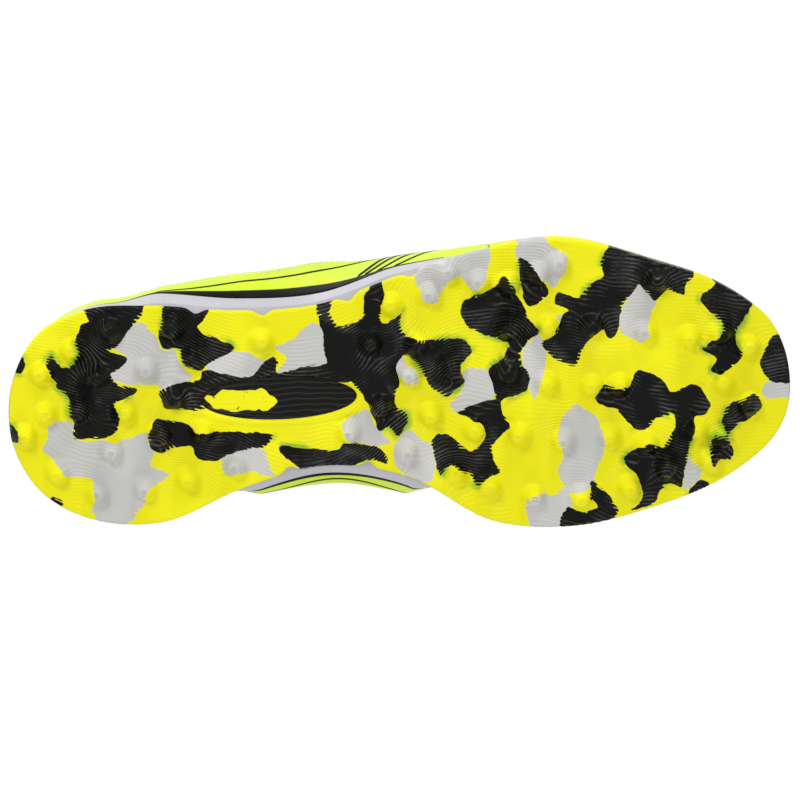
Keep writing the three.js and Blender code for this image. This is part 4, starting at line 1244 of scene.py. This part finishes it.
# %% Printed lines, as fractions of the length and rises
# Most places on the first line were worked out by a separate program
SWEEP_LINES = [
    [(0.19, 0.13), (0.233, 0.135), (0.298, 0.18), (0.35, 0.195), (0.405, 0.21), (0.447, 0.265),
     (0.476, 0.375), (0.5, 0.52)],
    [(0.452, 0.06), (0.468, 0.14), (0.484, 0.26), (0.503, 0.42), (0.52, 0.55)],
    [(0.46, 0.055), (0.478, 0.13), (0.497, 0.25), (0.517, 0.4), (0.535, 0.54)],
    [(0.474, 0.05), (0.494, 0.12), (0.513, 0.23), (0.534, 0.38), (0.553, 0.52)],
    [(0.496, 0.05), (0.514, 0.11), (0.534, 0.21), (0.555, 0.35), (0.575, 0.5)],
]
ARCH_LINES = [
    [(0.25, 0.14), (0.314, 0.16), (0.38, 0.1), (0.437, 0.09), (0.5, 0.14), (0.56, 0.24), (0.6, 0.36)],
]
LINE_WIDTH = 1.5
LINE_STEPS = 90


def printed_line(shape, points, lateral, width=LINE_WIDTH):
    """Adds a thin ribbon of ink to a shape, pointed at both ends."""
    fractions, rises = np.array(points, float).T
    knots = np.linspace(0, 1, len(points))
    strip, column, row = grid_shape(LINE_STEPS, 2)
    w = column / LINE_STEPS
    smooth = [profile(list(zip(knots, values))) for values in (fractions, rises)]
    fraction, rise = (curve(w) for curve in smooth)
    forward, upward = (curve(np.clip(w + 0.01, 0, 1)) - curve(np.clip(w - 0.01, 0, 1)) for curve in smooth)
    forward, upward = forward * SOLE_LENGTH, upward * GIRTH
    size = np.maximum(np.hypot(forward, upward), 1e-9)
    half = width / 2 * np.minimum(1, 14 * np.minimum(w + 0.005, 1.005 - w)) * (row - 1)
    place = place_at(fraction - upward / size * half / SOLE_LENGTH, lateral)
    spots = upper_point(place, rise + forward / size * half / GIRTH, 0.11)
    set_places(strip, spots)
    bmesh.ops.recalc_face_normals(strip, faces=strip.faces)
    middle = Vector((0, 0.0045, 0.03))
    if sum(f.normal.dot(f.calc_center_median() - middle) for f in strip.faces) < 0:
        bmesh.ops.reverse_faces(strip, faces=strip.faces)
    mesh = bpy.data.meshes.new("line")
    strip.to_mesh(mesh)
    strip.free()
    shape.from_mesh(mesh)
    bpy.data.meshes.remove(mesh)


shape = bmesh.new()
for line in SWEEP_LINES:
    printed_line(shape, line, True)
for line in ARCH_LINES:
    printed_line(shape, line, False)
ink_lines = finish_piece("printed_lines", shape, ink_film)
thin = ink_lines.modifiers.new("thickness", "SOLIDIFY")
thin.thickness = 0.1 * MM
thin.offset = -1
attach(ink_lines, "shoe")
print("printed line faces:", len(ink_lines.data.polygons))


lining_reach = SEAM_PLACE - SEAM_GAP
lining = upper_sheet("quarter_lining_knit", -lining_reach, lining_reach, 0, 1, lining_depth, LINING, knit,
                     "lining", columns_for(-lining_reach, lining_reach), 48, punch=True)
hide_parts("quarter_lining")
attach(lining, "shoe")
vamp_lining = upper_sheet("vamp_lining_knit", *vamp_span, 0, 1, lining_depth, LINING, knit, "lining",
                          columns_for(*vamp_span), 40)
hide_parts("vamp_lining")
bend_at_ball(vamp_lining)

# %% [markdown]
# ## Waist insert
# A hard plastic plate sits in the window under the waist. It starts as a filled circle drawn out to
# the window's shape, is extruded to its thickness, and gets a raised border by an inset. Its colour
# is black with a poured yellow blot, like the rubber round it.

# %% Insert material
def insert_plastic():
    material, _, links = new_material("insert_plastic")
    tree = material.node_tree
    place = put(tree, "ShaderNodeTexCoord")
    centre = to_frame(np.array(84.0), np.array(-4.6), np.array(0.0))
    shift = put(tree, "ShaderNodeMapping", vector_type="TEXTURE")
    shift.inputs["Location"].default_value = tuple(centre)
    shift.inputs["Scale"].default_value = (0.0125, 0.0042, 1.0)
    links.new(place.outputs["Object"], shift.inputs["Vector"])
    flat = put(tree, "ShaderNodeVectorMath", operation="MULTIPLY")
    flat.inputs[1].default_value = (1, 1, 0)
    links.new(shift.outputs[0], flat.inputs[0])
    length = put(tree, "ShaderNodeVectorMath", operation="LENGTH")
    links.new(flat.outputs[0], length.inputs[0])
    wobble = maths(tree, "MULTIPLY_ADD", object_noise(tree, 130, 2), 1.3, -0.65)
    blot = soft_step(tree, maths(tree, "ADD", length.outputs["Value"], wobble), 1.02, 0.98)
    parts = put(tree, "ShaderNodeSeparateXYZ")
    links.new(place.outputs["Object"], parts.inputs[0])
    millimetres = maths(tree, "MULTIPLY", parts.outputs["Y"], 1000)
    ribs, crest = use_ribs(tree, millimetres, 2.1)
    # Painted highlight: the rib crests on the black plastic are lightened.
    black = blend_colours(tree, crest, BLACK, (0.02, 0.02, 0.018))
    specks = soft_step(tree, object_noise(tree, 500, 2), 0.28, 0.34)
    gold = blend_colours(tree, specks, (0.2, 0.3, 0.02), YELLOW)
    links.new(blend_colours(tree, blot, black, gold), shader_of(material).inputs["Base Color"])
    shader_of(material).inputs["Roughness"].default_value = 0.32
    shader_of(material).inputs["Specular IOR Level"].default_value = 0.16
    bump(material, ribs, 0.00012)
    return material


# %% Build the insert
INSERT_BOTTOM, INSERT_TOP = 6.3, 7.7
shape = bmesh.new()
bmesh.ops.create_circle(shape, cap_ends=True, segments=96, radius=1.0)
half_length, half_width = (half - CLEARANCE for half in WINDOW_HALF)
bmesh.ops.scale(shape, vec=(half_length, half_width, 1), verts=shape.verts)
under = shape.faces[:]
grown = bmesh.ops.extrude_face_region(shape, geom=under)["geom"]
lifted = [g for g in grown if isinstance(g, bmesh.types.BMVert)]
bmesh.ops.translate(shape, verts=lifted, vec=(0, 0, INSERT_TOP - INSERT_BOTTOM))
bmesh.ops.recalc_face_normals(shape, faces=shape.faces)
below = [f for f in shape.faces if f.normal.z < -0.9]
bmesh.ops.inset_region(shape, faces=below, thickness=1.3, depth=0.0)
field = [f for f in shape.faces if f.normal.z < -0.9 and len(f.verts) > 4]
bmesh.ops.inset_region(shape, faces=field, thickness=0.5, depth=-0.45)
rim_edges = [e for e in shape.edges if e.calc_face_angle(0) > 1.0]
bmesh.ops.bevel(shape, geom=rim_edges, offset=0.25, offset_type="OFFSET", affect="EDGES", segments=2,
                profile=0.5, material=-1)
centre = (WINDOW_CENTRE[0] + SHIFT_X, WINDOW_CENTRE[1] + DRAWN_SHIFT_Y, INSERT_BOTTOM)
bmesh.ops.translate(shape, verts=shape.verts, vec=centre)
bmesh.ops.scale(shape, vec=(MM, MM, MM), verts=shape.verts)
insert = finish_piece("waist_insert_plate", shape, insert_plastic(), smooth=False)
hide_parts("waist_insert")
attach(insert, "shoe")
print("insert faces:", len(insert.data.polygons))

# %% [markdown]
# ## Inside the shoe
# A foam sockliner covered in knit lies on the board. It is a ladder of rungs between its two edges,
# like the outsole, a little hollow under the heel, with its thickness from Solidify.

# %% Sockliner and the board under it
SOCK_COLUMNS, SOCK_ROWS = 150, 44


def sock_edge(around):
    point, out, fraction, lateral = edge(around)
    offset = midsole_edge(fraction, lateral) - MIDSOLE_LIP + lining_depth(fraction, 0.0) - LINING - 1.2
    return point + out * offset[..., None], fraction


def foot_layer(name, above, thickness, dip, material):
    """A sheet under the foot with its top at a height above the midsole; dip hollows its heel."""
    shape, column, row = grid_shape(SOCK_COLUMNS, SOCK_ROWS)
    step = rungs[np.rint(np.linspace(0, RUNGS, SOCK_COLUMNS + 1)).astype(int)][column]
    lateral_side, fraction = sock_edge(step)
    medial_side, _ = sock_edge(np.mod(1 - step, 1.0))
    share = row / SOCK_ROWS
    flat = mix(lateral_side, medial_side, share[:, None])
    hollow = dip * np.sin(math.pi * share) * (1 - ramp(fraction, 0.2, 0.4))
    spots = to_frame(flat[:, 0], flat[:, 1], midsole_top(fraction) + above - hollow)
    set_places(shape, spots)
    set_floats(shape, "run", flat[:, 0])
    set_floats(shape, "height", flat[:, 1])
    bmesh.ops.remove_doubles(shape, verts=shape.verts, dist=2e-5)
    bmesh.ops.recalc_face_normals(shape, faces=shape.faces)
    if sum(f.normal.z for f in shape.faces) < 0:
        bmesh.ops.reverse_faces(shape, faces=shape.faces)
    layer = finish_piece(name, shape, material)
    thick = layer.modifiers.new("thickness", "SOLIDIFY")
    thick.thickness = thickness * MM
    thick.offset = -1
    bend_at_ball(layer)
    print(name, "faces:", len(layer.data.polygons))
    return layer


sockliner = foot_layer("sockliner_pad", 6.1, 2.9, 1.0, knit)
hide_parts("sockliner")
fibre = plain_grained("board_fibre", (0.42, 0.33, 0.18), (0.56, 0.46, 0.28), 0.9, 500, 0.1)
board = foot_layer("insole_board_sheet", 2.75, 1.4, 0.0, fibre)
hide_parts("insole_board")

# %% Top line binding
BINDING_HEIGHT = 2.6
BINDING_TURNS = 20
binding_reach = station(0.31)
binding_columns = columns_for(-binding_reach, binding_reach)
shape, column, row = grid_shape(binding_columns, BINDING_TURNS)
place = mix(-binding_reach, binding_reach, column / binding_columns)
turn = row / BINDING_TURNS * 2 * math.pi
fraction = edge(place)[2]
share = (1 - np.cos(turn)) / 2
depth = (lining_depth(fraction, 1.0) - LINING) * share
x, y, z, _ = upper_drawn(place, 1.0, depth)
z = z + CLEARANCE + np.where(turn < math.pi, BINDING_HEIGHT * np.sin(turn), 0)
set_places(shape, to_frame(x, y, z))
set_floats(shape, "run", place * EDGE_LENGTH)
set_floats(shape, "height", turn * 2.6)
bmesh.ops.remove_doubles(shape, verts=shape.verts, dist=2e-5)
bmesh.ops.holes_fill(shape, edges=[e for e in shape.edges if e.is_boundary])
bmesh.ops.recalc_face_normals(shape, faces=shape.faces)
binding = finish_piece("topline_binding_knit", shape, knit)
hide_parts("topline_binding")
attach(binding, "shoe")
print("binding faces:", len(binding.data.polygons))

# %% [markdown]
# ## Tongue
# The tongue is a padded strip sewn in at the front of the throat. A stuffed pad, whose section is a
# flattened ring, lies under a mesh cover, with a label near its top and a strap that keeps the laces
# in the middle. All of it turns with the tongue.

# %% Tongue surface
TONGUE_BASE, TONGUE_TOP = THROAT_FRONT - 0.02, 0.29
TONGUE_DROP, TONGUE_CROWN, TONGUE_EASE = 2.5, 3.0, 4.8
tongue_line = profile([
    (TONGUE_TOP, 109.0), (THROAT_TOP, THROAT_TOP_HEIGHT - TONGUE_DROP + 2),
    (0.5, mix(THROAT_TOP_HEIGHT, THROAT_FRONT_HEIGHT, 0.52) - TONGUE_DROP),
    (THROAT_FRONT, THROAT_FRONT_HEIGHT - TONGUE_DROP),
])


def tongue_point(along, across_it, depth):
    """along runs 0 at the sewn base to 1 at the top, across_it -1 to 1."""
    fraction = mix(TONGUE_BASE, TONGUE_TOP, along)
    wide = throat_half(np.maximum(fraction, THROAT_TOP)) - TONGUE_EASE
    end = np.sqrt(1 - ramp(along, 0.9, 1.02) ** 2)
    half = wide * mix(0.6, 1, end)
    slope = (tongue_line(fraction + 0.002) - tongue_line(fraction - 0.002)) / (0.004 * SOLE_LENGTH)
    size = np.sqrt(slope * slope + 1)
    x = fraction * SOLE_LENGTH - slope / size * depth
    z = tongue_line(fraction) - TONGUE_CROWN * across_it ** 2 + depth / size
    return to_frame(x, UPPER_CENTRE_Y + across_it * half, z)


def tongue_sheet(name, span, across_half, depth, thickness, material, columns, rows, soften=0.0):
    shape, column, row = grid_shape(columns, rows)
    along = mix(*span, column / columns)
    side = mix(-across_half, across_half, row / rows)
    set_places(shape, tongue_point(along, side, depth))
    set_floats(shape, "run", along * 92)
    set_floats(shape, "height", side * 15)
    bmesh.ops.recalc_face_normals(shape, faces=shape.faces)
    if sum(f.normal.z for f in shape.faces) < 0:
        bmesh.ops.reverse_faces(shape, faces=shape.faces)
    piece = finish_piece(name, shape, material)
    solid = piece.modifiers.new("thickness", "SOLIDIFY")
    solid.thickness = thickness * MM
    solid.offset = -1
    if soften:
        edge_round = piece.modifiers.new("edge", "BEVEL")
        edge_round.width = soften * MM
        edge_round.segments = 2
        edge_round.limit_method = "ANGLE"
        edge_round.angle_limit = math.radians(50)
    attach(piece, "tongue")
    return piece


# %% Build the tongue
# The darker green is painted shade in the mesh's gaps.
mesh_cover = cloth_material("tongue_mesh", (0.46, 0.60, 0.02), (0.10, 0.13, 0.008), 1.5, 0.4, rough=0.7)
cover = tongue_sheet("tongue_cover", (0, 1), 1.0, 0.0, 1.2, mesh_cover, 90, 30, soften=0.3)
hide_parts("tongue_outer")

PAD_TOP, PAD_LOW = -1.5, -6.8
PAD_COLUMNS, PAD_TURNS = 70, 40
shape, column, row = grid_shape(PAD_COLUMNS, PAD_TURNS)
along = column / PAD_COLUMNS
turn = row / PAD_TURNS * 2 * math.pi
wave = np.sin(along * math.pi * 14) * 0.16
side = np.sign(np.cos(turn)) * np.abs(np.cos(turn)) ** 0.55 * 0.99
level = np.sign(np.sin(turn)) * np.abs(np.sin(turn)) ** 0.8
closed_end = 1 - 0.75 * ramp(along, 0.93, 1.0) - 0.4 * (1 - ramp(along, 0.0, 0.05))
depth = (PAD_TOP + PAD_LOW) / 2 + (PAD_TOP - PAD_LOW) / 2 * level * closed_end + np.where(level < 0, wave, 0)
set_places(shape, tongue_point(along, side, depth))
set_floats(shape, "run", along * 92)
set_floats(shape, "height", turn * 8)
bmesh.ops.remove_doubles(shape, verts=shape.verts, dist=2e-5)
bmesh.ops.holes_fill(shape, edges=[e for e in shape.edges if e.is_boundary])
bmesh.ops.recalc_face_normals(shape, faces=shape.faces)
tongue_pad = finish_piece("tongue_pad", shape, knit)
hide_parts("tongue_foam", "tongue_lining")
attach(tongue_pad, "tongue")

label = tongue_sheet(
    "tongue_label_patch", (0.76, 0.9), 0.42, 0.9, 0.6, film_overlay, 20, 16, soften=0.2
)
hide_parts("tongue_label")
keeper = tongue_sheet("lace_keeper_tape", (0.42, 0.47), 0.6, 1.3, 1.0, tape, 10, 30, soften=0.25)
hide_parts("lace_keeper")
print("tongue faces:", len(cover.data.polygons) + len(tongue_pad.data.polygons))

# %% [markdown]
# ## Eyelets
# Each eyelet is a turned metal ring: its section is drawn once as a loop of edges and spun round the
# eyelet's axis. Twelve of them stand on the eyestays.

# %% Spin the eyelets
EYELET_DEPTH = OVERLAY + SKIN + LINING + 3 * CLEARANCE
EYELET_SECTION = [
    (2.0, -EYELET_DEPTH), (2.7, -EYELET_DEPTH), (2.7, 0.45), (3.9, 0.45), (4.1, 0.6), (4.0, 0.85),
    (3.6, 1.1), (2.9, 1.2), (2.3, 1.1), (2.0, 0.8),
]
shape = bmesh.new()
for centre, out in EYELET_AXES:
    sideways = out.orthogonal().normalized()
    section = [shape.verts.new(centre + (sideways * radius + out * z) * MM) for radius, z in EYELET_SECTION]
    edges = [shape.edges.new(pair) for pair in zip(section, section[1:] + section[:1])]
    bmesh.ops.spin(shape, geom=section + edges, cent=centre, axis=out, dvec=(0, 0, 0), angle=2 * math.pi,
                   steps=26, use_merge=True, use_duplicate=False)
bmesh.ops.remove_doubles(shape, verts=shape.verts, dist=1e-6)
bmesh.ops.recalc_face_normals(shape, faces=shape.faces)
eyelets = finish_piece("eyelets_turned", shape, gunmetal)
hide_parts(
    *[f"{side}_eyelet_{n + 1}" for side in ("lateral", "medial") for n in range(EYELETS_PER_SIDE)]
)
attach(eyelets, "shoe")
print("eyelet faces:", len(eyelets.data.polygons))

# %% [markdown]
# ## Stitching
# Rows of stitches hold the overlays down. A stitch is a short rounded bead, a sphere with few faces
# drawn out along the row. Rows are given on the upper's surface and walked at an even pitch.

# %% Stitch rows
STITCH_PITCH = 2.5


def walk_row(surface, pitch=STITCH_PITCH):
    """Centres, directions and normals at an even pitch along a row; surface(w) gives its points."""
    fine = surface(np.linspace(0, 1, 500), 0.0)
    above = surface(np.linspace(0, 1, 500), 1.0)
    run = np.concatenate([[0], np.cumsum(np.linalg.norm(np.diff(fine, axis=0), axis=1))])
    count = max(2, int(run[-1] / (pitch * MM)))
    at = np.linspace(0, run[-1], count + 1)[:-1] + run[-1] / count / 2
    pick = np.clip(np.searchsorted(run, at), 1, 498)
    return fine[pick], fine[pick + 1] - fine[pick - 1], above[pick] - fine[pick]


def sew(name, rows, material, body):
    shape = bmesh.new()
    count = 0
    for surface in rows:
        for centre, along_row, normal in zip(*walk_row(surface)):
            x_axis = Vector(along_row).normalized()
            z_axis = Vector(normal).normalized()
            y_axis = z_axis.cross(x_axis).normalized()
            z_axis = x_axis.cross(y_axis)
            turned = Matrix((x_axis, y_axis, z_axis)).transposed().to_4x4()
            grown = Matrix.Diagonal((0.95 * MM, 0.32 * MM, 0.26 * MM, 1))
            placed = Matrix.Translation(centre) @ turned @ grown
            bmesh.ops.create_uvsphere(shape, u_segments=7, v_segments=4, radius=1.0, matrix=placed)
            count += 1
    piece = finish_piece(name, shape, material)
    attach(piece, body)
    print(name, "stitches:", count)
    return piece


def upper_row(points, lateral, depth):
    """A row through points of fraction and rise on one side."""
    fractions, rises = np.array(points, float).T
    steps = np.linspace(0, 1, len(points))

    def surface(w, lift):
        fraction = np.interp(w, steps, fractions)
        return upper_point(place_at(fraction, lateral), np.interp(w, steps, rises), depth + lift * 0.5)

    return surface


FLANK_ROW = [(0.14, 0.5), (0.193, 0.43), (0.245, 0.34), (0.311, 0.3), (0.378, 0.34), (0.419, 0.4),
             (0.46, 0.5), (0.5, 0.62)]
EYESTAY_EDGE = [(0.375, 0.975), (0.376, 0.74), (0.45, 0.732), (0.52, 0.732), (0.582, 0.74), (0.584, 0.975)]
COLLAR_ROW = [(0.05, 0.955), (0.12, 0.95), (0.19, 0.945), (0.25, 0.95), (0.31, 0.955)]
SEAM_ROW = [(0.609, 0.3), (0.609, 0.45), (0.609, 0.6), (0.609, 0.97)]
OUTSIDE = 0.12
light_rows, film_rows = [], []
for lateral in (True, False):
    light_rows.append(upper_row(FLANK_ROW, lateral, OUTSIDE))
    light_rows.append(upper_row(EYESTAY_EDGE, lateral, OVER + OUTSIDE))
    film_rows.append(upper_row(COLLAR_ROW, lateral, OUTSIDE))
    film_rows.append(upper_row(SEAM_ROW, lateral, OUTSIDE))
sew("stitches_light", light_rows, thread_white, "shoe")
sew("stitches_dark", film_rows, thread_dark, "shoe")


def label_edge(w, lift):
    corners = np.array([(0.775, -0.36), (0.885, -0.36), (0.885, 0.36), (0.775, 0.36), (0.775, -0.36)])
    steps = np.linspace(0, 1, len(corners))
    along, side = (np.interp(w, steps, corners[:, k]) for k in (0, 1))
    return tongue_point(along, side, 1.0 + lift * 0.5)


def tongue_edge(sign):
    def surface(w, lift):
        return tongue_point(mix(0.03, 0.95, w), np.full_like(w, sign * 0.88), OUTSIDE + lift * 0.5)

    return surface


sew("stitches_tongue", [label_edge, tongue_edge(-1), tongue_edge(1)], thread_dark, "tongue")

# %% [markdown]
# ## Hidden solids
# Only the toe puff stays as its exact solid between the layers. The heel counter and the collar's foam
# are sheets under the skin. All three have the finish of what they are: sheet plastic and open foam.

# %% Heel counter, collar foam and toe puff
sheet_plastic = plain_grained("stiffener_sheet", (0.62, 0.58, 0.48), (0.72, 0.69, 0.6), 0.6, 800, 0.03)
open_foam = plain_grained("collar_open_foam", (0.02, 0.02, 0.024), (0.04, 0.04, 0.046), 0.95, 1600, 0.15)
UNDER_SKIN = -SKIN - CLEARANCE
counter_reach, pad_reach = station(0.25), station(0.27)
counter = upper_sheet("heel_counter_sheet", -counter_reach, counter_reach, 0, 3 / 7, UNDER_SKIN, STIFFENER,
                      sheet_plastic, "stiffener", 90, 24)
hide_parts("heel_counter")
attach(counter, "shoe")
pad = upper_sheet("collar_foam_pad", -pad_reach, pad_reach, 4 / 7, 1, UNDER_SKIN, COLLAR_PAD,
                  open_foam, "padding", 90, 24)
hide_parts("collar_foam")
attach(pad, "shoe")
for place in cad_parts["toe_puff"].material_slots:
    place.material = sheet_plastic
